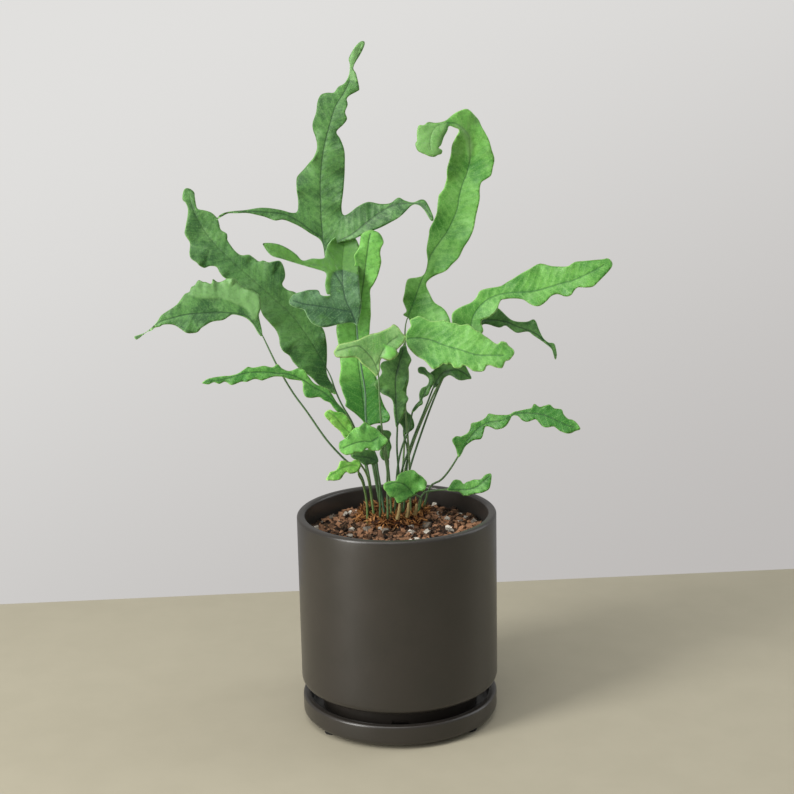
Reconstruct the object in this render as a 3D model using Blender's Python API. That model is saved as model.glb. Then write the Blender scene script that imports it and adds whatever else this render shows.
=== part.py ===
"""A fern growing in a round pot, which stands on a saucer with three small feet.

Lengths are in millimetres here and become metres when a mesh is made. While the pieces are
built, the pot's axis is x = y = 0 and the surface that the saucer stands on is z = 0. The
plant's points are measured from the middle of the potting mix's surface, +Y pointing to the
back, so the plant rises with the pot. Last, an empty that holds every piece is shifted so
that the middle of the object's footprint is the origin.
"""

import math

import bmesh
import bpy
import numpy as np
from mathutils import Vector
from mathutils.bvhtree import BVHTree

MM = 0.001
GAP = 0.3  # between two pieces that touch

# Saucer and its feet
SAUCER_RADIUS = 56.7
SAUCER_HEIGHT = 12.2
SAUCER_WALL = 4.7
SAUCER_FLOOR = 4.5
SAUCER_LIFT = 2.0  # its underside above the surface that it stands on
PAD_RADIUS = 4.0
PAD_INSET = 6.7  # from the saucer's outside to a pad's centre
PAD_ANGLES = (-142.0, -38.0, 90.0)

# Pot
POT_RADIUS = 57.15
POT_HEIGHT = 115.0  # from the bottom of its foot to its rim
POT_WALL = 4.8
POT_FLOOR = 5.5
POT_CORNER = 5.0
RIM_ROUND = 1.5
FOOT_RADIUS = 45.0
FOOT_WALL = 5.0
FOOT_HEIGHT = 13.7  # the pot's underside above the bottom of its foot
DRAIN_RADIUS = 6.0
NOTCH_WIDTH = 10.0
NOTCH_HEIGHT = 4.0
NOTCH_ANGLES = (30.0, 150.0, 270.0)

# Potting mix
MIX_DROP = 11.8  # its surface below the pot's rim
MOUND_HEIGHT = 3.5
MOUND_SPREAD = 17.0
MOUND_CENTRE = (-1.0, 15.0)
CLOD_HEIGHT = 0.7

# Fern
STIPE_RADIUS = 1.05  # a frond's stalk at its foot
STIPE_TAPER = 0.75  # the stalk's radius at the blade, as a share of that at its foot
SHEET_THICKNESS = 0.8
TIP_SHARE = 0.08  # how much of a blade's length its rounded tip takes
FRONT = Vector((0.0, -1.0, 0.25)).normalized()  # the side that most blades turn to

# Fineness
POT_SEGMENTS = 56
MIX_SEGMENTS = 28
CORNER_STEPS = 3
SPAN_STEPS = 12  # curve samples between two control points
STALK_STEP = 15.0
BLADE_STEP = 5.2

# Levels that follow from the sizes above
SAUCER_FLOOR_TOP = SAUCER_LIFT + SAUCER_FLOOR
FOOT_BOTTOM = SAUCER_FLOOR_TOP + GAP
POT_UNDERSIDE = FOOT_BOTTOM + FOOT_HEIGHT
POT_FLOOR_TOP = POT_UNDERSIDE + POT_FLOOR
RIM_TOP = FOOT_BOTTOM + POT_HEIGHT
POT_INSIDE = POT_RADIUS - POT_WALL
MIX_LEVEL = RIM_TOP - MIX_DROP


def clear_scene():
    for old in list(bpy.data.objects):
        bpy.data.objects.remove(old, do_unlink=True)


def finish(name, colour, roughness):
    """A plain Principled material."""
    material = bpy.data.materials.new(name)
    material.use_nodes = True
    shader = material.node_tree.nodes["Principled BSDF"]
    shader.inputs["Base Color"].default_value = (*colour, 1.0)
    shader.inputs["Roughness"].default_value = roughness
    shader.inputs["Metallic"].default_value = 0.0
    material.diffuse_color = (*colour, 1.0)
    return material


def add_piece(name, points, faces, material, origin=(0.0, 0.0, 0.0), smooth_angle=40.0):
    """Makes an object from points in millimetres and puts its own origin at `origin`."""
    mesh = bpy.data.meshes.new(name)
    local = [(Vector(point) - Vector(origin)) * MM for point in points]
    mesh.from_pydata(local, [], [list(face) for face in faces])
    shape = bmesh.new()
    shape.from_mesh(mesh)
    bmesh.ops.recalc_face_normals(shape, faces=shape.faces)
    shape.to_mesh(mesh)
    shape.free()
    mesh.shade_smooth()
    mesh.set_sharp_from_angle(angle=math.radians(smooth_angle))
    piece = bpy.data.objects.new(name, mesh)
    piece.location = Vector(origin) * MM
    piece.data.materials.append(material)
    bpy.context.scene.collection.objects.link(piece)
    return piece


def use_as_tool(piece):
    piece.hide_render = True
    piece.display_type = "WIRE"


def combine(piece, tool, operation, solver="EXACT"):
    """Cuts `tool` from a piece or welds it on, with a live Boolean."""
    use_as_tool(tool)
    boolean = piece.modifiers.new(tool.name, "BOOLEAN")
    boolean.operation = operation
    boolean.solver = solver
    boolean.object = tool


# Turned pieces


def rounded(corners, closed=False):
    """An outline through (radius, height, rounding) corners, with an arc at each rounding."""
    outline = []
    count = len(corners)
    for index, (radius, height, rounding) in enumerate(corners):
        here = Vector((radius, height))
        ends = not closed and index in (0, count - 1)
        if rounding == 0 or ends:
            outline.append(here)
            continue
        before = Vector(corners[index - 1][:2]) - here
        after = Vector(corners[(index + 1) % count][:2]) - here
        half_angle = before.angle(after) / 2
        setback = rounding / math.tan(half_angle)
        start = here + before.normalized() * setback
        end = here + after.normalized() * setback
        middle = (before.normalized() + after.normalized()).normalized()
        centre = here + middle * (rounding / math.sin(half_angle))
        sweep = math.pi - 2 * half_angle
        for step in range(CORNER_STEPS + 1):
            angle = sweep * step / CORNER_STEPS
            from_start = (start - centre) * math.sin(sweep - angle)
            from_end = (end - centre) * math.sin(angle)
            outline.append(centre + (from_start + from_end) / math.sin(sweep))
    return outline


def turned(outline, segments, closed=False):
    """Points and faces of an outline turned about the z axis. An open one ends on the axis."""
    points = []
    rings = []
    for radius, height in outline:
        if radius < 1e-6:
            rings.append([len(points)] * segments)
            points.append((0.0, 0.0, height))
            continue
        rings.append(list(range(len(points), len(points) + segments)))
        for step in range(segments):
            angle = 2 * math.pi * step / segments
            points.append((radius * math.cos(angle), radius * math.sin(angle), height))
    pairs = list(zip(rings, rings[1:]))
    if closed:
        pairs.append((rings[-1], rings[0]))
    faces = []
    for lower, upper in pairs:
        for step in range(segments):
            after = (step + 1) % segments
            corners = (lower[step], lower[after], upper[after], upper[step])
            faces.append(list(dict.fromkeys(corners)))
    return points, faces


def make_saucer(material):
    inside = SAUCER_RADIUS - SAUCER_WALL
    top = SAUCER_LIFT + SAUCER_HEIGHT
    outline = rounded(
        [
            (0.0, SAUCER_LIFT, 0.0),
            (SAUCER_RADIUS, SAUCER_LIFT, 3.5),
            (SAUCER_RADIUS, top, 1.4),
            (inside, top, 1.4),
            (inside, SAUCER_FLOOR_TOP, 2.5),
            (0.0, SAUCER_FLOOR_TOP, 0.0),
        ]
    )
    points, faces = turned(outline, POT_SEGMENTS)
    return add_piece("saucer", points, faces, material)


def make_saucer_feet(material):
    """Round pads under the saucer, flat where they meet the surface below."""
    reach = SAUCER_RADIUS - PAD_INSET
    pads = []
    for number, angle in enumerate(PAD_ANGLES, start=1):
        at = (reach * math.cos(math.radians(angle)), reach * math.sin(math.radians(angle)), 0.0)
        outline = rounded(
            [
                (0.0, 0.0, 0.0),
                (PAD_RADIUS, 0.0, 0.4),
                (PAD_RADIUS, SAUCER_LIFT - GAP, 0.0),
                (0.0, SAUCER_LIFT - GAP, 0.0),
            ]
        )
        points, faces = turned(outline, 16)
        points = [(x + at[0], y + at[1], z) for x, y, z in points]
        pads.append(add_piece(f"saucer_foot_{number}", points, faces, material, at))
    return pads


def make_pot(material):
    """A straight-sided pot with a narrower foot ring, which hides inside the saucer."""
    foot_inside = FOOT_RADIUS - FOOT_WALL
    outline = rounded(
        [
            (POT_RADIUS, POT_UNDERSIDE, POT_CORNER),
            (POT_RADIUS, RIM_TOP, RIM_ROUND),
            (POT_INSIDE, RIM_TOP, RIM_ROUND),
            (POT_INSIDE, POT_FLOOR_TOP, 4.0),
            (DRAIN_RADIUS, POT_FLOOR_TOP, 0.0),
            (DRAIN_RADIUS, POT_UNDERSIDE, 0.0),
            (foot_inside, POT_UNDERSIDE, 1.0),
            (foot_inside, FOOT_BOTTOM, 0.8),
            (FOOT_RADIUS, FOOT_BOTTOM, 0.8),
            (FOOT_RADIUS, POT_UNDERSIDE, 1.0),
        ],
        closed=True,
    )
    points, faces = turned(outline, POT_SEGMENTS, closed=True)
    pot = add_piece("pot", points, faces, material, (0.0, 0.0, FOOT_BOTTOM))
    for number, angle in enumerate(NOTCH_ANGLES, start=1):
        combine(pot, make_notch(number, math.radians(angle)), "DIFFERENCE")
    return pot


def make_notch(number, angle):
    """The tool for one water notch across the pot's foot ring."""
    ahead = Vector((math.cos(angle), math.sin(angle), 0.0))
    across = Vector((-ahead.y, ahead.x, 0.0)) * NOTCH_WIDTH / 2
    near = ahead * (FOOT_RADIUS - 2 * FOOT_WALL)
    far = ahead * (FOOT_RADIUS + FOOT_WALL)
    low = Vector((0.0, 0.0, FOOT_BOTTOM - 1.0))
    high = Vector((0.0, 0.0, FOOT_BOTTOM + NOTCH_HEIGHT))
    floor = [near - across, near + across, far + across, far - across]
    points = [corner + low for corner in floor] + [corner + high for corner in floor]
    faces = [(3, 2, 1, 0), (4, 5, 6, 7), (0, 1, 5, 4), (1, 2, 6, 5), (2, 3, 7, 6), (3, 0, 4, 7)]
    return add_piece(f"notch_tool_{number}", points, faces, None)


# Potting mix and rhizomes


def mix_height(x, y):
    """The potting mix's surface: a low mound under the crown, and clods away from it."""
    from_crown = math.hypot(x - MOUND_CENTRE[0], y - MOUND_CENTRE[1])
    mound = math.exp(-((from_crown / MOUND_SPREAD) ** 2))
    clods = math.sin(0.31 * x + 1.0) * math.cos(0.27 * y + 0.4) + 0.6 * math.sin(0.23 * (x + y))
    return MIX_LEVEL + MOUND_HEIGHT * mound + CLOD_HEIGHT * clods * (1.0 - mound)


def make_potting_mix(material):
    radius = POT_INSIDE - GAP
    floor = POT_FLOOR_TOP + GAP
    outline = rounded([(0.0, floor, 0.0), (radius, floor, 4.5), (radius, MIX_LEVEL, 0.0)])
    shares = (0.93, 0.78, 0.62, 0.47, 0.32, 0.16, 0.0)
    outline += [Vector((radius * share, MIX_LEVEL)) for share in shares]
    points, faces = turned(outline, MIX_SEGMENTS)
    points = [
        (x, y, mix_height(x, y) if z > MIX_LEVEL - 0.01 else z)
        for x, y, z in points
    ]
    return add_piece("potting_mix", points, faces, material, (0.0, 0.0, floor))


def make_rhizome(name, route, radius, mix, material):
    """A creeping stem that lies on the potting mix: round on top and flat below."""
    line = through([(x, y, 0.0) for x, y in route])
    length = lengths_of(line)[-1]
    stations = np.linspace(0.0, length, max(5, round(length / 4.0)))
    sides = 10
    points = []
    for distance in stations:
        middle, ahead = place_on(line, distance)
        across = Vector((ahead.y, -ahead.x, 0.0))
        end_share = min(distance, length - distance) / radius
        here = radius * math.sqrt(max(0.12, 1.0 - max(0.0, 1.0 - end_share) ** 2))
        floor = GAP + max(
            top_of([mix], middle + across * here * side + ahead * along)
            for side in (-1.0, -0.5, 0.0, 0.5, 1.0)
            for along in (-2.0, 0.0, 2.0)
        )
        for side in range(sides):
            angle = 2 * math.pi * side / sides
            height = max(0.0, here * (0.6 + math.sin(angle)))
            points.append(middle + across * here * math.cos(angle) + Vector((0, 0, floor + height)))
    faces = tube_faces(len(stations), sides)
    faces.append(list(range(sides)))
    faces.append(list(range(len(points) - sides, len(points))))
    return add_piece(name, points, faces, material, points[0])


# Curves


def through(points):
    """A dense smooth line through the control points, as an array."""
    knots = np.array(points, float)
    padded = np.vstack([2 * knots[0] - knots[1], knots, 2 * knots[-1] - knots[-2]])
    samples = []
    for index in range(1, len(padded) - 2):
        a, b, c, d = padded[index - 1 : index + 3]
        for share in np.arange(SPAN_STEPS) / SPAN_STEPS:
            samples.append(
                0.5
                * (
                    2 * b
                    + (c - a) * share
                    + (2 * a - 5 * b + 4 * c - d) * share**2
                    + (3 * b - a - 3 * c + d) * share**3
                )
            )
    samples.append(knots[-1])
    return np.array(samples)


def lengths_of(line):
    steps = np.linalg.norm(np.diff(line, axis=0), axis=1)
    return np.concatenate([[0.0], np.cumsum(steps)])


def place_on(line, distance):
    """The point at a distance along the line, and the direction there."""
    travelled = lengths_of(line)

    def point_at(where):
        return Vector([np.interp(where, travelled, line[:, axis]) for axis in range(3)])

    reach = 3.0
    ahead = point_at(min(distance + reach, travelled[-1])) - point_at(max(distance - reach, 0.0))
    return point_at(distance), ahead.normalized()


def value_along(values, share):
    """A smooth reading, at a share from 0 to 1, of values listed at even steps."""
    places = np.linspace(0.0, 1.0, len(values))
    line = through(np.column_stack([places, values]))
    return float(np.interp(share, line[:, 0], line[:, 1]))


def tube_faces(rings, sides):
    faces = []
    for ring in range(rings - 1):
        for side in range(sides):
            after = (side + 1) % sides
            low = ring * sides
            high = low + sides
            faces.append([low + side, low + after, high + after, high + side])
    return faces


def sheet_faces(rings, sides):
    """Triangles around a thin sheet, cut along the same diagonals above and below it."""
    faces = []
    for index, (a, b, c, d) in enumerate(tube_faces(rings, sides)):
        above = index % sides < sides // 2
        faces += [[a, b, c], [a, c, d]] if above else [[a, b, d], [b, c, d]]
    return faces


def tree_of(piece):
    """A search tree of a piece's surface, in millimetres."""
    points = [piece.location / MM + vertex.co / MM for vertex in piece.data.vertices]
    return BVHTree.FromPolygons(points, [face.vertices[:] for face in piece.data.polygons])


def top_of(trees, place):
    """The highest point of the surfaces straight below a place, or the mix's level."""
    found = MIX_LEVEL
    for tree in trees:
        hit = tree.ray_cast(Vector((place[0], place[1], 500.0)), Vector((0.0, 0.0, -1.0)))[0]
        if hit is not None:
            found = max(found, hit.z)
    return found


# Fronds


def above_mix(points):
    return [Vector((x, y, z + MIX_LEVEL)) for x, y, z in points]


def blade_ring(middle, ahead, share, shape, stalk_radius):
    """Eight points around a blade: four steps across its upper side and back below."""
    sideways = ahead.cross(FRONT).normalized()
    facing = sideways.cross(ahead)
    turn = math.radians(value_along(shape["turn"], share))
    across = sideways * math.cos(turn) + facing * math.sin(turn)
    up = facing * math.cos(turn) - sideways * math.sin(turn)
    open_share = min(1.0, share / 0.1)
    flat = open_share * open_share * (3 - 2 * open_share)
    from_tip = (share - 1.0) / TIP_SHARE + 1.0
    rounding = math.sqrt(1.0 - min(1.0, max(0.0, from_tip)) ** 2)
    widths = {
        -1: max(stalk_radius * 0.35, value_along(shape["left"], share) * rounding),
        1: max(stalk_radius * 0.35, value_along(shape["right"], share) * rounding),
    }
    height, waves = shape["wave"]
    ring = []
    path = [(-1.0, 1), (-0.5, 1), (0.0, 1), (0.5, 1), (1.0, 1), (0.5, -1), (0.0, -1), (-0.5, -1)]
    for step, face in path:
        side = 1 if step >= 0 else -1
        round_step = math.sin(math.pi / 2 * step)
        where = (1 - flat) * round_step * stalk_radius + flat * step * widths[side]
        ripple = math.sin(2 * math.pi * (waves * share + 0.2 * side))
        fade = min(1.0, widths[side] / 6.0) * min(1.0, share / 0.15)
        lift = height * ripple * fade * step * step + shape["fold"] * abs(where) * flat
        thick = (1 - flat) * stalk_radius * math.cos(math.pi / 2 * step)
        thick += flat * SHEET_THICKNESS / 2 * (1.0 - step**4)
        ring.append(middle + across * where + up * (lift + face * thick))
    return ring


def leafy_tube(stalk, blade, shape, base_radius, base_level=None):
    """Points and faces of one stalk that opens into a blade and closes at the blade's tip."""
    line = through([*stalk, *blade])
    travelled = lengths_of(line)
    opens_at = travelled[len(stalk) * SPAN_STEPS]
    total = travelled[-1]
    stalk_count = max(1, round(opens_at / STALK_STEP)) if stalk else 0
    blade_count = max(5, round((total - opens_at) / BLADE_STEP))
    stations = [opens_at * step / stalk_count for step in range(stalk_count)]
    stations += list(np.linspace(opens_at, total, blade_count + 1))[:-1]
    points = []
    for distance in stations:
        middle, ahead = place_on(line, distance)
        if distance == 0.0 and base_level is not None:
            middle.z = base_level
            ahead = Vector((0.0, 0.0, 1.0))
        along = min(1.0, distance / max(opens_at, 1.0))
        radius = base_radius * (1 - (1 - STIPE_TAPER) * along)
        share = max(0.0, (distance - opens_at) / (total - opens_at))
        points += blade_ring(middle, ahead, share, shape, radius)
    sides = 8
    faces = sheet_faces(len(stations), sides)
    faces.append(list(range(sides)))
    tip = len(points)
    points.append(Vector(line[-1]))
    last = tip - sides
    faces += [[last + side, last + (side + 1) % sides, tip] for side in range(sides)]
    return points, faces


def make_frond(name, frond, ground, material):
    """One frond: its stalk, its blade and, where it has them, the side lobes."""
    x, y = frond["foot"]
    rim = [
        (x + reach * math.cos(angle), y + reach * math.sin(angle))
        for reach in (STIPE_RADIUS, 1.5 * STIPE_RADIUS)
        for angle in np.arange(8) * math.pi / 4
    ]
    level = GAP + max(top_of(ground, place) for place in [(x, y), *rim])
    foot = Vector((x, y, level))
    stalk = [foot, *above_mix(frond["stalk"])]
    points, faces = leafy_tube(stalk, above_mix(frond["blade"]), frond, STIPE_RADIUS, level)
    piece = add_piece(name, points, faces, material, foot)
    for number, lobe in enumerate(frond.get("lobes", []), start=1):
        points, faces = leafy_tube([], above_mix(lobe["blade"]), lobe, STIPE_RADIUS * STIPE_TAPER)
        tool = add_piece(f"{name}_lobe_{number}", points, faces, material, foot)
        combine(piece, tool, "UNION", "MANIFOLD")
    return piece


def leaf(foot, stalk, blade, left, right, wave=(1.0, 2.0), turn=(0.0, 0.0), fold=0.12, lobes=()):
    """A frond's design: its route, its half widths at even steps, and how it waves and turns."""
    return {
        "foot": foot,
        "stalk": stalk,
        "blade": blade,
        "left": left,
        "right": right,
        "wave": wave,
        "turn": turn,
        "fold": fold,
        "lobes": lobes,
    }


def lobe_of(blade, left, right, wave=(0.8, 2.0), turn=(0.0, 0.0), fold=0.1):
    return leaf(None, [], blade, left, right, wave, turn, fold)


# Each route is hand-placed: x to the right, y to the back and z above the potting mix.
# Left and right are the half widths either side of the midrib, looking from its foot.
FRONDS = {
    "frond_tall_lobed": leaf(
        (-10, 27),
        [(-13, 24, 30), (-18, 21, 62), (-25, 19, 98), (-32, 18, 128), (-36, 15, 150)],
        [(-37, 12, 158), (-38, 10, 180), (-38, 9, 193), (-37, 9, 204), (-34, 8, 218),
         (-32, 8, 231), (-27, 9, 242), (-22, 9, 251), (-19, 10, 259), (-16, 11, 265),
         (-13, 12, 274)],
        (1, 1, 3, 11, 13, 14, 11, 7, 8, 10, 8, 3, 1, 2, 1),
        (1, 2, 7, 12, 13, 13, 12, 11, 7, 7, 5, 5, 3, 2, 1),
        wave=(2.2, 3.5),
        lobes=(
            lobe_of(
                [(-38, 11, 170), (-50, 10, 177), (-67, 8, 182), (-83, 6, 183), (-95, 5, 181)],
                (8, 5, 4, 3, 2, 2, 0),
                (9, 6, 5, 5, 4, 2, 0),
            ),
            lobe_of(
                [(-37, 11, 167), (-25, 9, 174), (-11, 7, 181), (3, 4, 188), (13, 2, 188),
                 (22, 0, 181)],
                (8, 7, 7, 7, 5, 3, 1, 2, 0),
                (6, 6, 8, 8, 8, 6, 2, 2, 0),
                wave=(1.2, 2.5),
            ),
        ),
    ),
    "frond_left_wavy": leaf(
        (-14, 23),
        [(-17, 17, 32), (-23, 12, 58), (-30, 9, 73)],
        [(-35, 8, 84), (-40, 8, 94), (-47, 8, 108), (-57, 8, 125), (-67, 9, 137),
         (-77, 10, 146), (-87, 11, 154), (-97, 12, 164), (-103, 14, 174), (-108, 15, 185),
         (-111, 15, 192), (-113, 16, 198)],
        (1, 6, 10, 11, 11, 11, 9, 8, 7, 7, 10, 12, 9, 3, 3),
        (1, 3, 8, 12, 11, 10, 10, 14, 11, 8, 8, 9, 8, 3, 3),
        wave=(2.6, 4.0),
    ),
    "frond_left_arching": leaf(
        (-17, 17),
        [(-19, 12, 27), (-23, 8, 35), (-30, 4, 43), (-39, 0, 55), (-49, -4, 72), (-57, -7, 85),
         (-65, -9, 101), (-71, -10, 114)],
        [(-75, -10, 125), (-80, -11, 130), (-88, -12, 134), (-99, -14, 132), (-109, -15, 132),
         (-121, -17, 130), (-130, -18, 126), (-140, -20, 119)],
        (1, 2, 4, 5, 6, 8, 8, 5, 2, 1, 1),
        (1, 8, 12, 15, 16, 14, 8, 4, 1, 1, 1),
        wave=(2.0, 3.0),
    ),
    "frond_left_narrow": leaf(
        (-13, 12),
        [(-15, 5, 29), (-19, -3, 52), (-23, -8, 65)],
        [(-30, -10, 74), (-35, -11, 83), (-43, -13, 89), (-53, -15, 95), (-65, -17, 98),
         (-76, -19, 99), (-85, -20, 98), (-104, -24, 95)],
        (1, 3, 5, 7, 3, 2, 2, 4, 3, 3, 2, 2, 1),
        (1, 3, 3, 3, 3, 2, 2, 3, 3, 3, 2, 2, 1),
        wave=(1.5, 4.0),
    ),
    "frond_hooked": leaf(
        (0, 28),
        [(4, 26, 29), (6, 25, 59), (7, 24, 89), (7, 23, 107)],
        [(9, 22, 118), (12, 22, 126), (17, 24, 142), (23, 24, 157), (33, 25, 169),
         (38, 26, 180), (41, 27, 191), (44, 28, 202), (46, 28, 211), (46, 27, 219),
         (42, 25, 226), (36, 23, 230), (30, 21, 231), (24, 19, 228), (22, 18, 220),
         (22, 17, 210)],
        (1, 6, 1, 4, 8, 10, 11, 10, 10, 10, 8, 7, 8, 8),
        (1, 14, 1, 11, 13, 13, 11, 11, 10, 12, 11, 9, 9, 8),
        wave=(1.2, 4.0),
        turn=(0, 0, 0, 0, 0, 0, 0, -5, -30, -70, -95, -115, -140, -160),
    ),
    "frond_right_long": leaf(
        (2, 19),
        [(5, 16, 30), (11, 13, 50), (19, 10, 70), (25, 8, 83), (32, 6, 94), (40, 4, 110)],
        [(43, 3, 117), (46, 2, 125), (51, 1, 131), (58, 0, 135), (67, -1, 137), (76, -2, 137),
         (85, -3, 139), (95, -4, 141), (104, -5, 144), (113, -7, 149), (121, -8, 152)],
        (1, 7, 7, 6, 5, 6, 10, 12, 12, 11, 9, 8, 7, 5, 4),
        (1, 5, 6, 5, 3, 3, 4, 7, 6, 5, 5, 6, 6, 5, 4),
        wave=(2.2, 3.0),
    ),
    "frond_right_drooping": leaf(
        (4, 24),
        [(8, 21, 30), (15, 19, 52), (23, 16, 74), (31, 14, 92), (39, 12, 110)],
        [(43, 11, 118), (50, 10, 122), (59, 9, 121), (72, 7, 116), (83, 5, 109), (91, 3, 99)],
        (1, 6, 7, 5, 4, 5, 3, 3, 0),
        (1, 5, 5, 4, 4, 3, 2, 1, 0),
        wave=(1.4, 2.5),
    ),
    "frond_front_broad": leaf(
        (8, 6),
        [(8, 3, 34), (7, 1, 59), (5, -1, 83), (3, -3, 99)],
        [(4, -4, 108), (13, -6, 113), (25, -9, 111), (33, -12, 109), (41, -14, 107),
         (49, -16, 105), (60, -19, 105), (66, -20, 109)],
        (1, 9, 11, 13, 14, 12, 9, 8, 0),
        (1, 4, 10, 10, 9, 9, 7, 5, 0),
        wave=(1.8, 3.0),
    ),
    "frond_under_front": leaf(
        (-1, 15),
        [(3, 10, 31), (10, 6, 52), (17, 3, 70), (23, 1, 82)],
        [(29, -1, 89), (37, -3, 93), (45, -5, 90)],
        (1, 4, 5, 4, 0),
        (1, 3, 4, 3, 0),
    ),
    "frond_beaded": leaf(
        (-1, 7),
        [(1, 1, 36), (4, 0, 50), (8, -2, 60), (12, -5, 69)],
        [(14, -7, 75), (17, -9, 79), (18, -9, 84), (21, -10, 91)],
        (1, 4, 2, 4, 2, 4, 0),
        (1, 3, 2, 4, 2, 3, 0),
    ),
    "frond_centre_dark": leaf(
        (3, 5),
        [(2, 0, 31), (1, -5, 55), (1, -9, 68)],
        [(0, -11, 74), (-1, -12, 82), (-1, -12, 92), (3, -12, 102), (6, -11, 110)],
        (1, 5, 9, 11, 9, 5, 0),
        (1, 4, 6, 7, 6, 3, 0),
        wave=(1.0, 2.0),
    ),
    "frond_centre_hidden": leaf(
        (4, 12),
        [(6, 11, 29), (7, 10, 49)],
        [(6, 10, 58), (5, 9, 73), (6, 9, 84), (8, 9, 102)],
        (1, 5, 7, 6, 4, 0),
        (1, 5, 7, 6, 4, 0),
    ),
    "frond_strap": leaf(
        (-9, 9),
        [(-11, 3, 32), (-14, -3, 52)],
        [(-16, -6, 62), (-16, -5, 72), (-17, -4, 84), (-19, -1, 107), (-21, 1, 121),
         (-17, 1, 144), (-13, -3, 159), (-10, -6, 174)],
        (1, 13, 12, 11, 11, 10, 7, 6, 0),
        (1, 10, 7, 6, 8, 7, 7, 7, 0),
        wave=(1.6, 4.0),
    ),
    "frond_blue_lobed": leaf(
        (-7, 5),
        [(-10, -3, 35), (-14, -12, 57), (-16, -14, 71), (-16, -13, 85), (-18, -11, 100),
         (-20, -9, 115)],
        [(-21, -8, 124), (-25, -8, 136), (-27, -6, 148), (-28, 2, 157), (-28, 11, 164),
         (-28, 17, 170)],
        (1, 3, 5, 5, 4, 0),
        (1, 6, 7, 6, 5, 0),
        lobes=(
            lobe_of(
                [(-21, -8, 125), (-32, -9, 130), (-42, -11, 135), (-51, -12, 138),
                 (-57, -13, 137)],
                (3, 6, 5, 5, 3, 0),
                (6, 8, 8, 6, 3, 0),
                wave=(1.0, 1.5),
            ),
            lobe_of(
                [(-24, -8, 133), (-33, -3, 148), (-48, 1, 156), (-59, 1, 161), (-71, 0, 166)],
                (2, 4, 3, 4, 3, 0),
                (2, 3, 2, 3, 3, 0),
            ),
        ),
    ),
    "frond_folded": leaf(
        (-3, 2.5),
        [(-4, -7, 38), (-7, -15, 63), (-8, -19, 84)],
        [(-8, -20, 93), (-12, -21, 101), (-20, -22, 106), (-28, -22, 107), (-35, -22, 107)],
        (1, 5, 6, 4, 3, 0),
        (1, 3, 5, 5, 3, 0),
        lobes=(
            lobe_of(
                [(-10, -21, 99), (-4, -20, 111), (2, -19, 121)],
                (3, 4, 4, 0),
                (3, 4, 4, 0),
            ),
        ),
    ),
    "frond_front_small": leaf(
        (-5, -1),
        [(-5, -6, 28), (-5, -13, 44)],
        [(-6, -20, 54), (-10, -24, 61), (-16, -26, 63), (-24, -27, 61), (-31, -28, 58)],
        (1, 4, 8, 6, 3, 0),
        (1, 5, 8, 6, 3, 0),
    ),
    "frond_front_under": leaf(
        (-9.5, 1),
        [(-9, -4, 27), (-10, -9, 40)],
        [(-13, -14, 46), (-18, -17, 50), (-25, -20, 50)],
        (1, 4, 5, 4, 0),
        (1, 4, 4, 3, 0),
    ),
    "frond_left_light": leaf(
        (-13, 6.5),
        [(-16, 0, 32), (-21, -8, 48)],
        [(-25, -13, 56), (-30, -16, 65), (-35, -17, 71), (-39, -18, 75)],
        (1, 4, 4, 3, 0),
        (1, 4, 4, 3, 0),
    ),
    "frond_left_young": leaf(
        (-17, 10),
        [(-17, 5, 16), (-19, -3, 30), (-22, -9, 38)],
        [(-24, -11, 41), (-30, -15, 41), (-36, -18, 38), (-41, -21, 36)],
        (1, 3, 4, 3, 0),
        (1, 3, 5, 3, 0),
    ),
    "frond_centre_small": leaf(
        (-5, 12),
        [(-5, 8, 29), (-4, 5, 41)],
        [(-4, 4, 47), (-5, 3, 54), (-6, 2, 63)],
        (1, 3, 4, 2, 0),
        (1, 3, 4, 2, 0),
    ),
    "frond_rim_round": leaf(
        (12, 8),
        [(14, 4, 14), (14, -3, 22)],
        [(11, -8, 28), (4, -12, 31), (-2, -15, 31), (-7, -18, 30)],
        (1, 5, 7, 5, 0),
        (1, 7, 8, 5, 0),
    ),
    "frond_right_low": leaf(
        (16, 22),
        [(20, 20, 20), (26, 16, 25), (31, 12, 32)],
        [(35, 8, 40), (42, 3, 54), (51, 1, 60), (57, 0, 64), (65, -2, 68), (78, -4, 69),
         (87, -6, 68), (96, -8, 63), (104, -10, 61)],
        (1, 2, 3, 4, 3, 4, 5, 4, 0),
        (1, 3, 3, 4, 2, 4, 5, 4, 0),
        wave=(1.5, 3.5),
    ),
    "frond_right_short": leaf(
        (11, 18),
        [(15, 16, 16), (22, 14, 20)],
        [(30, 11, 22), (39, 8, 23), (47, 5, 25), (54, 3, 31)],
        (1, 3, 4, 3, 0),
        (1, 3, 4, 3, 0),
    ),
}

# Creeping stems: the route over the potting mix, and the radius.
RHIZOMES = {
    "rhizome_back": ([(-20, 13), (-15, 22), (-8, 27), (3, 27), (18, 23)], 5.0),
    "rhizome_middle": ([(-6, 13), (1, 16.5), (9, 16)], 3.8),
    "rhizome_front": ([(-15, 7), (-8, 4), (0, 3), (8, 5), (15, 8)], 4.2),
}

# Old stalks cut short: the foot, the lean at the top and the length.
STUBS = ((0.5, -1.5, 1.5, -2.5, 9.0), (6.0, 0.5, 1.0, -3.0, 8.0), (10.5, 3.0, 1.0, -3.0, 6.0))


def make_stub(number, stub, ground, material):
    x, y, lean_x, lean_y, length = stub
    sides = 8
    rim = [
        Vector((math.cos(angle), math.sin(angle), 0.0)) * STIPE_RADIUS
        for angle in np.arange(sides) * 2 * math.pi / sides
    ]
    middle = Vector((x, y, 0.0))
    level = GAP + max(top_of(ground, middle + 1.5 * step) for step in [*rim, Vector()])
    foot = middle + Vector((0.0, 0.0, level))
    top = foot + Vector((lean_x, lean_y, length))
    points = [foot + step for step in rim] + [top + step for step in rim]
    faces = tube_faces(2, sides)
    faces += [list(range(sides)), list(range(sides, 2 * sides))]
    return add_piece(f"stalk_stub_{number}", points, faces, material, foot)


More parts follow.
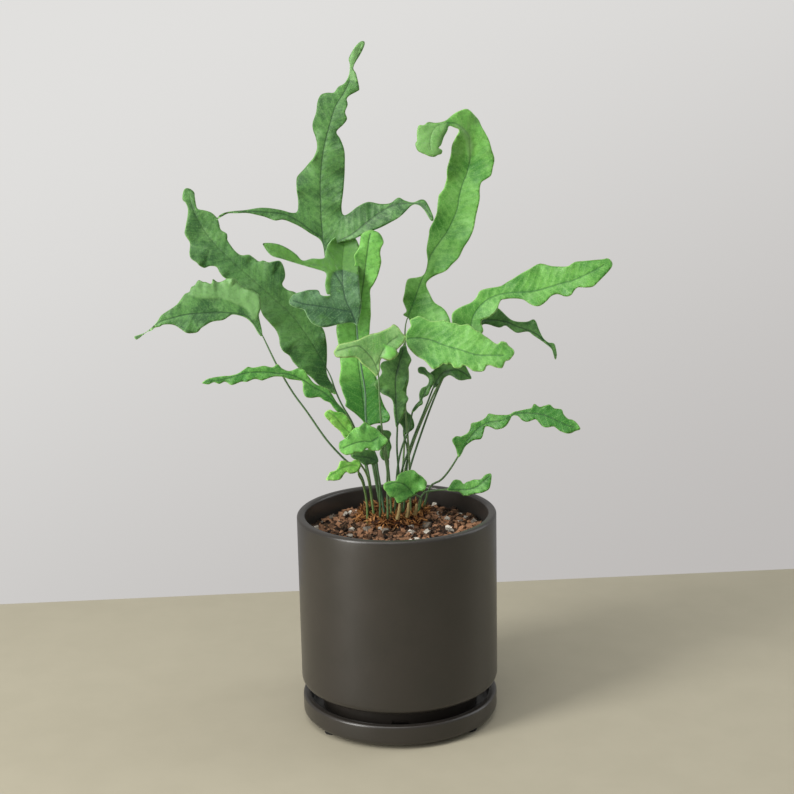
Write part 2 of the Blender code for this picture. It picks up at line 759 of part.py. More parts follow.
def centre_on_footprint(pieces):
    """Parents every piece to one empty, shifted so that the footprint's middle is the origin."""
    corners = [
        piece.location + vertex.co for piece in pieces for vertex in piece.data.vertices
    ]
    holder = bpy.data.objects.new("potted_fern", None)
    bpy.context.scene.collection.objects.link(holder)
    for piece in bpy.data.objects:
        if piece is not holder:
            piece.parent = holder
    for axis in (0, 1):
        values = [corner[axis] for corner in corners]
        holder.location[axis] = -(min(values) + max(values)) / 2


def main():
    clear_scene()
    charcoal = finish("charcoal_ceramic", (0.045, 0.042, 0.038), 0.55)
    rubber = finish("foot_rubber", (0.02, 0.02, 0.02), 0.8)
    bark = finish("potting_mix", (0.09, 0.05, 0.03), 0.95)
    scales = finish("rhizome_scales", (0.3, 0.15, 0.05), 0.8)
    green = finish("leaf_green", (0.1, 0.33, 0.08), 0.45)
    stalk_green = finish("stalk_green", (0.25, 0.36, 0.14), 0.5)

    pieces = [make_saucer(charcoal), make_pot(charcoal), *make_saucer_feet(rubber)]
    mix = make_potting_mix(bark)
    pieces.append(mix)
    ground = [tree_of(mix)]
    for name, (route, radius) in RHIZOMES.items():
        pieces.append(make_rhizome(name, route, radius, ground[0], scales))
        ground.append(tree_of(pieces[-1]))
    for name, frond in FRONDS.items():
        pieces.append(make_frond(name, frond, ground, green))
    for number, stub in enumerate(STUBS, start=1):
        pieces.append(make_stub(number, stub, ground, stalk_green))
    centre_on_footprint(pieces)


main()
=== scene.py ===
# %% [markdown]
# # A potted fern
# This is a fern with strap-shaped, wavy and lobed fronds on thin wiry stalks. It grows from
# scaly creeping stems in a straight-sided charcoal pot, which stands in a saucer on three small
# feet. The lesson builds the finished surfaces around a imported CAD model, which is the frame:
# it says where the pot, the mix and each frond's foot are. Nothing of it is moved.

# %% The frame
import math

import bmesh
import bpy
import numpy as np
from mathutils import Matrix, Vector
from mathutils.geometry import delaunay_2d_cdt


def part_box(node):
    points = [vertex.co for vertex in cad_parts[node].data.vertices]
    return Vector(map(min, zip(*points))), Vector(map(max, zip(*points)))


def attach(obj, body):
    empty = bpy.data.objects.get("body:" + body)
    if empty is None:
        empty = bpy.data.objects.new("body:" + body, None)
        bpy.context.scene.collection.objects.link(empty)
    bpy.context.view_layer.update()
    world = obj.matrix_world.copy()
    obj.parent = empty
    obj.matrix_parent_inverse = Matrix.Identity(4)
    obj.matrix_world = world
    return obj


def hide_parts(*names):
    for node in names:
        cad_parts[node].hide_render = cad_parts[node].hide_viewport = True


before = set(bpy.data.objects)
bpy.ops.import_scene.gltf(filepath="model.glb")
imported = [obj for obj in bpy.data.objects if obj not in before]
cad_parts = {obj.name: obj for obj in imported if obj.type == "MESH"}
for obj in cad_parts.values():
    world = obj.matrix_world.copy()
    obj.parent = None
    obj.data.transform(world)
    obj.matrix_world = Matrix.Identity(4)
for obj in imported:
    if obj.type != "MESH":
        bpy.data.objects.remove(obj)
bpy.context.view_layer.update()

# %% [markdown]
# ## Sizes that come from the frame
# The plant is drawn in millimetres from the middle of the potting mix: x to the right, y to the
# back and z up. The pot's box gives its axis and its rim, and the mix lies a set depth below the
# rim. The frame could be read vertex by vertex, but a turned pot's box already says it all.

# %% Where the pot, the saucer and the mix are
MM = 0.001
BODY = "root"
MIX_DROP = 11.8
pot_low, pot_high = (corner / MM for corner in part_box("pot"))
saucer_low, saucer_high = (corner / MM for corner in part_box("saucer"))
AXIS_X = (pot_low.x + pot_high.x) / 2
AXIS_Y = (pot_low.y + pot_high.y) / 2
POT_RADIUS = (pot_high.x - pot_low.x) / 2
SAUCER_RADIUS = (saucer_high.x - saucer_low.x) / 2
RIM_TOP = pot_high.z
MIX_LEVEL = RIM_TOP - MIX_DROP
print(f"pot radius {POT_RADIUS:.1f} mm, rim at {RIM_TOP:.1f} mm, mix at {MIX_LEVEL:.1f} mm")


def in_frame(points):
    """Points in millimetres about the pot's axis, as metres in the frame."""
    return (np.asarray(points, float) + (AXIS_X, AXIS_Y, 0.0)) * MM


# %% [markdown]
# ## Camera
# A portrait lens from nearly a metre away, a little above the rim and looking slightly down. The
# camera's axes are worked out from its pitch and roll, because a Track To constraint would have
# no roll.

# %% Camera
CAMERA_PLACE = (1.6, -878.9, 392.9)
CAMERA_PITCH = math.radians(13.07)
CAMERA_ROLL = math.radians(-1.15)
CAMERA_LENS = 72.54


def add_camera():
    ahead = Vector((0.0, math.cos(CAMERA_PITCH), -math.sin(CAMERA_PITCH)))
    level = Vector((1.0, 0.0, 0.0))
    above = level.cross(ahead)
    right = level * math.cos(CAMERA_ROLL) + above * math.sin(CAMERA_ROLL)
    up = above * math.cos(CAMERA_ROLL) - level * math.sin(CAMERA_ROLL)
    data = bpy.data.cameras.new("camera")
    data.lens = CAMERA_LENS
    data.sensor_width = 36.0
    camera = bpy.data.objects.new("camera", data)
    turned = Matrix((right, up, -ahead)).transposed()
    place = Vector(in_frame([CAMERA_PLACE])[0])
    camera.matrix_world = Matrix.Translation(place) @ turned.to_4x4()
    bpy.context.scene.collection.objects.link(camera)
    bpy.context.scene.camera = camera
    return camera


print("camera:", tuple(round(x, 3) for x in add_camera().location))

# %% [markdown]
# ## Node helpers
# Every material and every Geometry Nodes tree below is made in code. A few helpers keep that
# readable: `put` adds a node with its inputs filled or linked, `new_group` makes a group with
# named sockets, and `linear` turns a screen colour into the linear colour that a shader needs.
# The others are short words for maths, mixing, noise, a stored number and a bump.

# %% Node helpers


def linear(red, green, blue):
    """A screen colour from 0 to 255 as a linear colour."""
    shares = [value / 255 for value in (red, green, blue)]
    return tuple(s / 12.92 if s <= 0.04045 else ((s + 0.055) / 1.055) ** 2.4 for s in shares)


def put(tree, kind, inputs=None, **settings):
    """Adds a node. `inputs` maps an input's name or number to a value or to a socket."""
    node = tree.nodes.new(kind)
    for setting, value in settings.items():
        setattr(node, setting, value)
    for key, value in (inputs or {}).items():
        socket = node.inputs[key]
        if isinstance(value, bpy.types.NodeSocket):
            tree.links.new(value, socket)
        elif socket.type == "RGBA" and len(value) == 3:
            socket.default_value = (*value, 1.0)
        else:
            socket.default_value = value
    return node


def new_group(name, kind, inputs, outputs):
    """A node group with named sockets: inputs are (name, socket type, default)."""
    tree = bpy.data.node_groups.new(name, kind)
    for label, socket_type, default in inputs:
        socket = tree.interface.new_socket(label, in_out="INPUT", socket_type=socket_type)
        if default is not None:
            socket.default_value = default
    for label, socket_type in outputs:
        tree.interface.new_socket(label, in_out="OUTPUT", socket_type=socket_type)
    return tree, tree.nodes.new("NodeGroupInput").outputs, tree.nodes.new("NodeGroupOutput").inputs


def calc(tree, operation, first, second=0.0):
    """One step of arithmetic."""
    return put(tree, "ShaderNodeMath", {0: first, 1: second}, operation=operation).outputs[0]


def blend(tree, share, first, second):
    """A colour mixed from two, by a share from 0 to 1."""
    node = tree.nodes.new("ShaderNodeMix")
    node.data_type = "RGBA"
    for number, value in ((0, share), (6, first), (7, second)):
        if isinstance(value, bpy.types.NodeSocket):
            tree.links.new(value, node.inputs[number])
        elif number == 0:
            node.inputs[0].default_value = value
        else:
            node.inputs[number].default_value = (*value[:3], 1.0)
    return node.outputs[2]


def spread(tree, value, low, high, to_low=0.0, to_high=1.0):
    """A value carried from one range to another, smoothly and held at its ends."""
    node = put(tree, "ShaderNodeMapRange", {0: value, 1: low, 2: high, 3: to_low, 4: to_high})
    node.interpolation_type = "SMOOTHSTEP"
    return node.outputs[0]


def noise(tree, place, scale, detail=3.0, roughness=0.5):
    """Soft random cloud from 0 to 1; the scale counts its lumps in a metre."""
    sizes = {"Vector": place, "Scale": scale, "Detail": detail, "Roughness": roughness}
    return put(tree, "ShaderNodeTexNoise", sizes).outputs[0]


def reading(tree, name):
    """A named number stored on the mesh's points."""
    return put(tree, "ShaderNodeAttribute", attribute_name=name).outputs["Fac"]


def new_material(name, roughness=0.5, specular=0.5):
    material = bpy.data.materials.new(name)
    material.use_nodes = True
    shader = material.node_tree.nodes["Principled BSDF"]
    shader.inputs["Roughness"].default_value = roughness
    shader.inputs["Specular IOR Level"].default_value = specular
    return material, material.node_tree, shader


def raise_surface(tree, shader, height, depth_mm, strength=1.0):
    sizes = {"Strength": strength, "Distance": depth_mm * MM, "Height": height}
    bump = put(tree, "ShaderNodeBump", sizes)
    tree.links.new(bump.outputs[0], shader.inputs["Normal"])


print("node helpers are ready")

# %% [markdown]
# ## The leaf finish
# A fern blade is a thin green sheet with broad light and dark patches, a fine dark midrib,
# faint side veins that lean towards the tip, and a thin pale line along its margin. An image
# could be drawn for each frond, but here the mesh itself carries what the pattern needs: the
# distance from the midrib, the distance from the margin and which face is the upper one. One
# node group turns those numbers into colour, so every frond shares it with its own greens.

# %% The leaf finish as one node group
VEIN_GAP = 4.6
VEIN_LEAN = 0.8
VEIN_WOBBLE = 2.6
RIB_HALF_WIDTH = (0.22, 0.55)
BLOOM_SHIFT = (0.31, 0.17, 0.23)
LEAF_NOISES = {"mottle": 420.0, "cells": 1800.0, "wobble": 160.0}
LEAF_COLOURS = ("Deep", "Bright", "Margin", "Rib", "Under", "Stalk")
PLAIN_LOOK = {
    "Patch Scale": 55.0,
    "Patch Shift": 0.0,
    "Vein": 0.12,
    "Rib Strength": 0.6,
    # how far up and how strongly painted shade darkens each blade's foot
    "Foot Length": 14.0,
    "Painted Foot Shade": 0.3,
    "Edge Width": 0.4,
}


def paint_patches(tree, given, place, along):
    """Light and dark patches, a bloom, painted shade darkening the foot, and two fine grains."""
    patch = noise(tree, place, given["Patch Scale"], 6.0, 0.72)
    patch = spread(tree, calc(tree, "ADD", patch, given["Patch Shift"]), 0.38, 0.62)
    colour = blend(tree, patch, given["Deep"], given["Bright"])
    moved = put(tree, "ShaderNodeMapping", {"Vector": place, "Location": BLOOM_SHIFT})
    bloom_scale = calc(tree, "MULTIPLY", given["Patch Scale"], 1.7)
    bloom = noise(tree, moved.outputs[0], bloom_scale, 5.0, 0.7)
    colour = blend(tree, spread(tree, bloom, 0.5, 0.7, 0.0, 0.55), colour, given["Under"])
    # painted shade: each blade darkens towards its foot, where the fronds around it shade it
    foot = calc(tree, "DIVIDE", along, given["Foot Length"])
    foot = calc(tree, "MULTIPLY", spread(tree, foot, 0.6, 1.0, 1.0, 0.0), given["Painted Foot Shade"])
    colour = blend(tree, foot, colour, given["Deep"])
    mottle = noise(tree, place, LEAF_NOISES["mottle"], 4.0, 0.75)
    colour = blend(tree, spread(tree, mottle, 0.42, 0.66, 0.0, 0.5), colour, given["Deep"])
    cells = noise(tree, place, LEAF_NOISES["cells"], 1.0)
    colour = blend(tree, spread(tree, cells, 0.5, 0.75, 0.0, 0.3), colour, given["Margin"])
    return colour, mottle


def side_veins(tree, place, along, across):
    """A wave from 0 to 1 whose crests are the side veins."""
    wobble = noise(tree, place, LEAF_NOISES["wobble"], 2.0)
    wobble = calc(tree, "MULTIPLY", wobble, VEIN_WOBBLE)
    lean = calc(tree, "SUBTRACT", along, calc(tree, "MULTIPLY", across, VEIN_LEAN))
    phase = calc(tree, "MULTIPLY", calc(tree, "ADD", lean, wobble), 2 * math.pi / VEIN_GAP)
    return calc(tree, "ADD", calc(tree, "MULTIPLY", calc(tree, "SINE", phase), 0.5), 0.5)


def make_leaf_group():
    inputs = [(label, "NodeSocketColor", (0.1, 0.2, 0.1, 1.0)) for label in LEAF_COLOURS]
    inputs += [(label, "NodeSocketFloat", value) for label, value in PLAIN_LOOK.items()]
    outputs = [
        ("Colour", "NodeSocketColor"),
        ("Roughness", "NodeSocketFloat"),
        ("Height", "NodeSocketFloat"),
    ]
    tree, given, result = new_group("fern_leaf", "ShaderNodeTree", inputs, outputs)
    link = tree.links.new
    place = put(tree, "ShaderNodeTexCoord").outputs["Object"]
    across = reading(tree, "from_rib")
    along = reading(tree, "along")
    margin = reading(tree, "from_edge")

    colour, mottle = paint_patches(tree, given, place, along)
    wave = side_veins(tree, place, along, across)
    line = calc(tree, "MULTIPLY", spread(tree, wave, 0.82, 1.0), given["Vein"])
    colour = blend(tree, line, colour, given["Margin"])
    rib = spread(tree, across, *RIB_HALF_WIDTH, 1.0, 0.0)
    colour = blend(tree, calc(tree, "MULTIPLY", rib, given["Rib Strength"]), colour, given["Rib"])

    face = spread(tree, reading(tree, "upper_face"), 0.1, 0.9)
    under = blend(tree, spread(tree, mottle, 0.3, 0.75, 0.0, 0.5), given["Under"], colour)
    colour = blend(tree, face, under, colour)
    half_edge = calc(tree, "MULTIPLY", given["Edge Width"], 0.5)
    edge = spread(tree, margin, half_edge, given["Edge Width"], 1.0, 0.0)
    colour = blend(tree, calc(tree, "MULTIPLY", edge, 0.75), colour, given["Margin"])
    stalk = blend(tree, spread(tree, mottle, 0.4, 0.7, 0.0, 0.35), given["Stalk"], given["Rib"])
    link(blend(tree, reading(tree, "blade"), stalk, colour), result["Colour"])

    link(spread(tree, mottle, 0.3, 0.7, 0.38, 0.58), result["Roughness"])
    fine = calc(tree, "MULTIPLY", mottle, 0.45)
    sunk = calc(tree, "MULTIPLY", wave, 0.35)
    groove = calc(tree, "MULTIPLY", rib, -0.5)
    link(calc(tree, "ADD", calc(tree, "ADD", fine, sunk), groove), result["Height"])
    return tree


LEAF_GROUP = make_leaf_group()
print("leaf group:", len(LEAF_GROUP.nodes), "nodes")

# %% [markdown]
# ## Greens
# New fronds are yellow-green, full-grown ones mid green, and the oldest are dark with a bluish
# bloom. Each row gives the dark and the light of the patches and the margin, then the midrib,
# the underside and the stalk, as screen colours.

# %% Greens
GREENS = {
    "bright": (
        (56, 122, 42), (112, 174, 82), (158, 212, 120),
        (52, 104, 50), (120, 168, 98), (112, 140, 92),
    ),
    "fresh": (
        (54, 118, 44), (122, 190, 92), (140, 196, 100),
        (40, 84, 40), (120, 168, 100), (102, 132, 88),
    ),
    "mid": (
        (40, 82, 40), (92, 142, 76), (128, 176, 102),
        (34, 70, 38), (116, 162, 98), (96, 128, 88),
    ),
    "dark": (
        (44, 82, 42), (94, 144, 74), (112, 158, 90),
        (28, 58, 34), (96, 138, 84), (84, 116, 78),
    ),
    "blue": (
        (48, 88, 54), (92, 132, 92), (140, 186, 130),
        (34, 68, 50), (84, 136, 54), (90, 124, 96),
    ),
    "young": (
        (82, 158, 50), (152, 210, 100), (176, 220, 126),
        (84, 136, 62), (150, 194, 118), (120, 146, 90),
    ),
    "olive": (
        (88, 136, 72), (136, 180, 112), (160, 196, 118),
        (62, 98, 52), (104, 178, 70), (102, 132, 88),
    ),
}
LEAF_ROUGHNESS = 0.45
LEAF_SHINE = 0.35
LEAF_BUMP_MM = 0.35


def leaf_material(name, green, look):
    """The leaf finish with its own greens and its own look."""
    material, tree, shader = new_material(name, LEAF_ROUGHNESS, LEAF_SHINE)
    group = put(tree, "ShaderNodeGroup", node_tree=LEAF_GROUP)
    for label, colour in zip(LEAF_COLOURS, GREENS[green]):
        group.inputs[label].default_value = (*linear(*colour), 1.0)
    for label, value in {**PLAIN_LOOK, **look}.items():
        group.inputs[label].default_value = value
    tree.links.new(group.outputs["Colour"], shader.inputs["Base Color"])
    tree.links.new(group.outputs["Roughness"], shader.inputs["Roughness"])
    raise_surface(tree, shader, group.outputs["Height"], LEAF_BUMP_MM, 0.6)
    shader.inputs["Subsurface Weight"].default_value = 0.15
    shader.inputs["Subsurface Scale"].default_value = 0.0015
    shader.inputs["Subsurface Radius"].default_value = (0.5, 1.0, 0.25)
    return material


print("greens:", ", ".join(GREENS))

# %% [markdown]
# ## Curves and meshes
# A stalk, a midrib and a blade's outline are each a smooth line through a few given
# points. All of them use the same Catmull-Rom curve, which passes through its points, so the
# design stays readable. A Blender curve with a bevel would give a stalk, but not a blade.

# %% Curves through points
SPAN_STEPS = 16
OUTLINE_STEPS = 6


def through(points, closed=False, steps=SPAN_STEPS):
    """A dense smooth line through the control points."""
    knots = np.array(points, float)
    if closed:
        padded = np.vstack([knots[-1], knots, knots[:2]])
    else:
        padded = np.vstack([2 * knots[0] - knots[1], knots, 2 * knots[-1] - knots[-2]])
    before, here, after, beyond = (padded[i : len(padded) - 3 + i, None] for i in range(4))
    share = (np.arange(steps) / steps)[None, :, None]
    line = 0.5 * (
        2 * here
        + (after - before) * share
        + (2 * before - 5 * here + 4 * after - beyond) * share**2
        + (3 * here - before - 3 * after + beyond) * share**3
    )
    line = line.reshape(-1, knots.shape[1])
    return line if closed else np.vstack([line, knots[-1]])


def travelled(line):
    """How far along the line each of its points is."""
    steps = np.linalg.norm(np.diff(line, axis=0), axis=1)
    return np.concatenate([[0.0], np.cumsum(steps)])


def points_at(line, distances):
    """The points at given distances along a line."""
    gone = travelled(line)
    return np.column_stack([np.interp(distances, gone, column) for column in line.T])


def reading_of(values, shares):
    """A smooth reading, at shares from 0 to 1, of values listed at even steps."""
    places = np.linspace(0.0, 1.0, len(values))
    line = through(np.column_stack([places, values]))
    return np.interp(shares, line[:, 0], line[:, 1])


def unit(vectors):
    return vectors / np.maximum(np.linalg.norm(vectors, axis=-1, keepdims=True), 1e-12)


def round_angles(steps):
    """Even angles once round, without the last one."""
    return 2 * math.pi * np.arange(steps) / steps


def ring_faces(rings, steps):
    """Four-sided faces between rings of points that follow each other."""
    return [
        (low + step, low + after, low + steps + after, low + steps + step)
        for low in range(0, (rings - 1) * steps, steps)
        for step, after in zip(range(steps), [*range(1, steps), 0])
    ]


def turn_outwards(mesh, merge=None):
    """Merges points that lie within a distance, if asked, and turns every face outwards."""
    shape = bmesh.new()
    shape.from_mesh(mesh)
    if merge:
        bmesh.ops.remove_doubles(shape, verts=shape.verts, dist=merge)
    bmesh.ops.recalc_face_normals(shape, faces=shape.faces)
    shape.to_mesh(mesh)
    shape.free()


def place_in_scene(name, mesh):
    """A new object for a mesh, at the origin."""
    made = bpy.data.objects.new(name, mesh)
    bpy.context.scene.collection.objects.link(made)
    return made


def mesh_piece(name, points_mm, faces, material, numbers=None, smooth_angle=None):
    """An object at the origin with its place in its mesh, and named numbers on its points."""
    mesh = bpy.data.meshes.new(name)
    mesh.from_pydata(in_frame(points_mm).tolist(), [], faces)
    mesh.materials.append(material)
    for label, values in (numbers or {}).items():
        layer = mesh.attributes.new(label, "FLOAT", "POINT")
        layer.data.foreach_set("value", np.asarray(values, np.float32).ravel())
    mesh.shade_smooth()
    if smooth_angle is not None:
        mesh.set_sharp_from_angle(angle=math.radians(smooth_angle))
    mesh.validate()
    return place_in_scene(name, mesh)


def keep(piece, slot, *nodes):
    """The piece rides on the body and hides the CAD nodes it replaces; `slot` is not used."""
    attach(piece, BODY)
    if nodes:
        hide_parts(*nodes)
    return piece


print("a line through 3 points has", len(through([(0, 0), (1, 1), (2, 0)])), "samples")

# %% [markdown]
# ## A frond's blade as a web
# Each blade is a thin wavy sheet, and two of them split into lobes like the toes of a duck's
# foot. A ribbon carried along the midrib would do for the straps but not for the lobes, and
# ribbons joined by a Boolean show their seams. So every blade is a web: its outline is drawn as
# a closed curve seen from the front, filled with small triangles by Blender's Delaunay tool,
# given its depth from the midribs, and doubled into an upper and a lower face.

# %% Fill an outline
WEB_STEP = 1.0
ROW_STEP = 0.87 * WEB_STEP
RIM_STEP = 0.8


def closing(outline):
    """An outline with its first point again at its end."""
    return np.vstack([outline, outline[0]])


def nearest(points, line):
    """The distance from each point to a line, and how far along the line that is."""
    start, step = line[:-1], np.diff(line, axis=0)
    size = np.maximum((step**2).sum(1), 1e-12)
    share = ((points[:, None] - start[None]) * step[None]).sum(2) / size
    share = np.clip(share, 0.0, 1.0)
    apart = np.linalg.norm(points[:, None] - (start[None] + share[..., None] * step[None]), axis=2)
    best = apart.argmin(1)
    rows = np.arange(len(points))
    gone = travelled(line)
    return apart[rows, best], gone[best] + share[rows, best] * np.sqrt(size[best])


def inside(points, outline):
    """Which points lie inside a closed outline, by counting the edges to their right."""
    x, z = points[:, 0][:, None], points[:, 1][:, None]
    a, b = outline, np.roll(outline, -1, axis=0)
    crosses = (a[:, 1] > z) != (b[:, 1] > z)
    rise = np.where(b[:, 1] == a[:, 1], 1e-9, b[:, 1] - a[:, 1])
    at = a[:, 0] + (z - a[:, 1]) / rise * (b[:, 0] - a[:, 0])
    return (crosses & (x < at)).sum(1) % 2 == 1


def fill_outline(outline, ribs):
    """Points and triangles that fill an outline, with points along each rib."""
    low, high = outline.min(0), outline.max(0)
    rows = np.arange(low[1], high[1], ROW_STEP)
    grid = [
        (x + (row % 2) * WEB_STEP / 2, z)
        for row, z in enumerate(rows)
        for x in np.arange(low[0], high[0], WEB_STEP)
    ]
    grid = np.array(grid)
    rim = closing(outline)
    grid = grid[inside(grid, outline)]
    grid = grid[nearest(grid, rim)[0] > 0.45 * WEB_STEP]
    rib_points = []
    for rib in ribs:
        grid = grid[nearest(grid, rib)[0] > 0.5 * WEB_STEP]
        own = points_at(rib, np.arange(0.3, travelled(rib)[-1], RIM_STEP))
        own = own[inside(own, outline)]
        rib_points.append(own[nearest(own, rim)[0] > 0.3])
    every = np.vstack([outline, grid, *rib_points])
    count = len(outline)
    edges = [(index, (index + 1) % count) for index in range(count)]
    found = delaunay_2d_cdt([Vector(p) for p in every], edges, [], 1, 1e-6)
    return np.array([tuple(v) for v in found[0]]), np.array(found[2])


# %% [markdown]
# ## Depth, waves and veins
# A blade leans back from its midrib, so that its upper face looks up to the light. Its margins
# grow faster than its middle, and that makes them ruffle in and out. The ruffle is a sum of
# sines along the margin, which fades towards the midrib and swells and sinks along the way.
# Phases come from a fixed seed, so the same frond grows in every run. Where a margin curls over,
# the paler underside shows.

# %% The blade laid flat


def lay_flat(design):
    """The blade's points seen from the front, its triangles, its midribs and its distances."""
    ring = closing(through(design["outline"], closed=True, steps=OUTLINE_STEPS))
    outline = points_at(ring, np.arange(0.0, travelled(ring)[-1] - RIM_STEP / 2, RIM_STEP))
    spines = [through(rib, steps=OUTLINE_STEPS) for rib in design["ribs"]]
    ribs = [spine[:, [0, 2]] for spine in spines]
    flat, triangles = fill_outline(outline, ribs)
    edge, round_rim = nearest(flat, closing(outline))
    apart, gone = np.array([nearest(flat, rib) for rib in ribs]).transpose(1, 0, 2)
    own = apart.argmin(0), np.arange(len(flat))
    gaps = {"edge": edge, "round_rim": round_rim, "rib": apart[own], "along": gone[own]}
    return flat, triangles, spines, gaps


# %% Depth and waves
LEAN = 0.45
RIB_PULL = 30.0
FULL_WIDTH = 6.0
CURL_WIDTH = 2.0
CURL_LIFT = 0.8
CUP = 0.13
VEIN_LIFT = 0.12
RIB_SINK, RIB_SINK_WIDTH = 0.15, 0.7


def ripple(distance, length, shift=0.0):
    """A sine along a distance; the shift starts it somewhere else."""
    return np.sin(2 * math.pi * distance / length + 6 * shift)


def depth_of(flat, spines):
    """Each point's depth: its midribs' depths by closeness, with a lean away from them."""
    knots = np.vstack(spines)
    away = ((flat[:, None] - knots[None, :, [0, 2]]) ** 2).sum(2)
    weight = 1.0 / (away + RIB_PULL) ** 1.5
    weight /= weight.sum(1)[:, None]
    return weight @ knots[:, 1] + LEAN * (flat[:, 1] - weight @ knots[:, 2])


def curl_of(flat, zones):
    """How far the margin curls over at each point, from 0 to 1."""
    curled = np.zeros(len(flat))
    for zone in zones:
        ring = through(zone, closed=True, steps=OUTLINE_STEPS)
        deep = nearest(flat, closing(ring))[0]
        curled = np.maximum(curled, inside(flat, ring) * np.clip(deep / CURL_WIDTH, 0.0, 1.0))
    return curled


def lift_of(design, seed, gaps, curled):
    """How far each point stands in front of the plain sheet."""
    shift = np.random.default_rng(seed).uniform(0.0, 1.0, 4)
    edge, rib, length = gaps["edge"], gaps["rib"], design["ruffle_length"]
    share = edge / (edge + rib + 1e-6)
    ruffle = ripple(gaps["round_rim"], length, shift[0])
    ruffle += 0.4 * ripple(gaps["round_rim"], length * 0.43, shift[1])
    swell = 0.7 + 0.5 * ripple(gaps["round_rim"], length * 3.7, shift[2])
    bulk = np.clip((edge + rib) / FULL_WIDTH, 0.0, 1.0)
    lift = design["ruffle"] * ruffle * swell * (1 - share) ** 2 * bulk
    lift += CUP * rib + CURL_LIFT * curled
    lift += VEIN_LIFT * ripple(gaps["along"] - VEIN_LEAN * rib, VEIN_GAP) * share * bulk
    return lift - RIB_SINK * np.exp(-((rib / RIB_SINK_WIDTH) ** 2))


# %% Two faces and their numbers
SHEET = 0.32
RIDGE, RIDGE_WIDTH = 0.6, 0.5
EDGE_TAPER = 0.4


def outward_of(middle, triangles):
    """The direction out of the sheet's front at each point; turns the triangles that way."""
    corner = middle[triangles]
    normal = np.cross(corner[:, 1] - corner[:, 0], corner[:, 2] - corner[:, 0])
    turned_back = normal[:, 1] > 0
    triangles[turned_back] = triangles[turned_back][:, ::-1]
    normal[turned_back] *= -1
    gathered = np.zeros_like(middle)
    for column in range(3):
        np.add.at(gathered, triangles[:, column], normal)
    return unit(gathered)


def web(design, seed):
    """Points, faces and named numbers of one blade."""
    flat, triangles, spines, gaps = lay_flat(design)
    curled = curl_of(flat, design["pale"])
    depth = depth_of(flat, spines) - lift_of(design, seed, gaps, curled)
    middle = np.column_stack([flat[:, 0], depth, flat[:, 1]])
    out = outward_of(middle, triangles)
    edge, rib = gaps["edge"], gaps["rib"]
    on_rim = edge < 1e-4
    sheet = SHEET / 2 * np.sqrt(np.clip(edge / EDGE_TAPER, 0.0, 1.0))
    ridge = RIDGE * np.exp(-((rib / RIDGE_WIDTH) ** 2)) * (~on_rim)
    upper = middle + out * sheet[:, None]
    lower = middle - out * (sheet + ridge)[:, None]
    inner = np.flatnonzero(~on_rim)
    twin = np.arange(len(flat))
    twin[inner] = len(flat) + np.arange(len(inner))
    points = np.vstack([upper, lower[inner]]) + (0.0, 0.0, MIX_LEVEL)
    faces = triangles.tolist() + twin[triangles][:, ::-1].tolist()
    both = np.concatenate([np.arange(len(flat)), inner])
    numbers = {
        "from_edge": edge[both],
        "from_rib": rib[both] + 0.4 * (np.arange(len(both)) >= len(flat)),
        "along": gaps["along"][both],
        "blade": np.ones(len(both)),
        "upper_face": np.concatenate([np.where(on_rim, 0.6, 1.0) - curled, curled[inner]]),
    }
    return points, faces, numbers


print("side veins every", VEIN_GAP, "mm, sheets", SHEET, "mm thick")

# %% [markdown]
# ## Where the web meets its stalk
# The stalk is a plain thin rod, and inside the web it goes on as the raised rib underneath. So
# it runs a little way up behind the blade and tapers to nothing there.

# %% The stalk of a web
STALK_STEP = 2.5
STALK_RADII = (0.66, 0.62, 0.6, 0.56, 0.52, 0.45, 0.12)
BEHIND_BLADE = 0.5
FOOT_SUNK = 1.2
FIRST_SEED = 71
FRONT = unit(np.array([0.0, -1.0, 0.25]))
fronds = []


def frames_along(line, distances, reach):
    """The midrib's points, its direction and the two directions across it."""
    middle = points_at(line, distances)
    ends = travelled(line)[-1]
    ahead = points_at(line, np.minimum(distances + reach, ends))
    ahead = unit(ahead - points_at(line, np.maximum(distances - reach, 0.0)))
    sideways = unit(np.cross(ahead, FRONT))
    return middle, sideways, np.cross(sideways, ahead)


def rod(line, radii, sides=14):
    """Points and faces of a closed rod with its own radius at each point of a line."""
    gone = travelled(line)
    places = np.linspace(0.0, gone[-1], max(4, round(gone[-1] / STALK_STEP)))
    middle, sideways, facing = frames_along(line, places, 2.0)
    radius = reading_of(radii, places / gone[-1])[:, None, None]
    angle = round_angles(sides)[None, :, None]
    rings = middle[:, None] + radius * (
        sideways[:, None] * np.cos(angle) + facing[:, None] * np.sin(angle)
    )
    last = (len(places) - 1) * sides
    ends = [tuple(reversed(range(sides))), tuple(range(last, last + sides))]
    return rings.reshape(-1, 3), ring_faces(len(places), sides) + ends


def foot_level_of(node):
    """The level of a CAD frond's foot, sunk a little into the scales around it."""
    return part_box(node)[0].z / MM - FOOT_SUNK


def web_frond(name, design, seed):
    """A web and its stalk as one piece."""
    points, faces, numbers = web(design, seed)
    foot = np.array([*design["foot"], foot_level_of(f"frond_{name}")])
    climb = np.array([*design["stalk"], *design["ribs"][0][:3]], float) + (0, 0, MIX_LEVEL)
    climb[-2:] += (0.0, BEHIND_BLADE, 0.0)
    rod_points, rod_faces = rod(through(np.vstack([foot, climb])), STALK_RADII)
    start = len(points)
    faces += [tuple(index + start for index in face) for face in rod_faces]
    plain = {"from_edge": 5.0, "from_rib": 3.0, "along": 0.0, "blade": 0.0, "upper_face": 1.0}
    for label, value in plain.items():
        numbers[label] = np.append(numbers[label], np.full(len(rod_points), value))
    points = np.vstack([points, rod_points])
    material = leaf_material(f"leaf_{name}", design["green"], design["look"])
    piece = mesh_piece(f"fern_{name}", points, faces, material, numbers)
    return keep(piece, "leaf", f"frond_{name}")


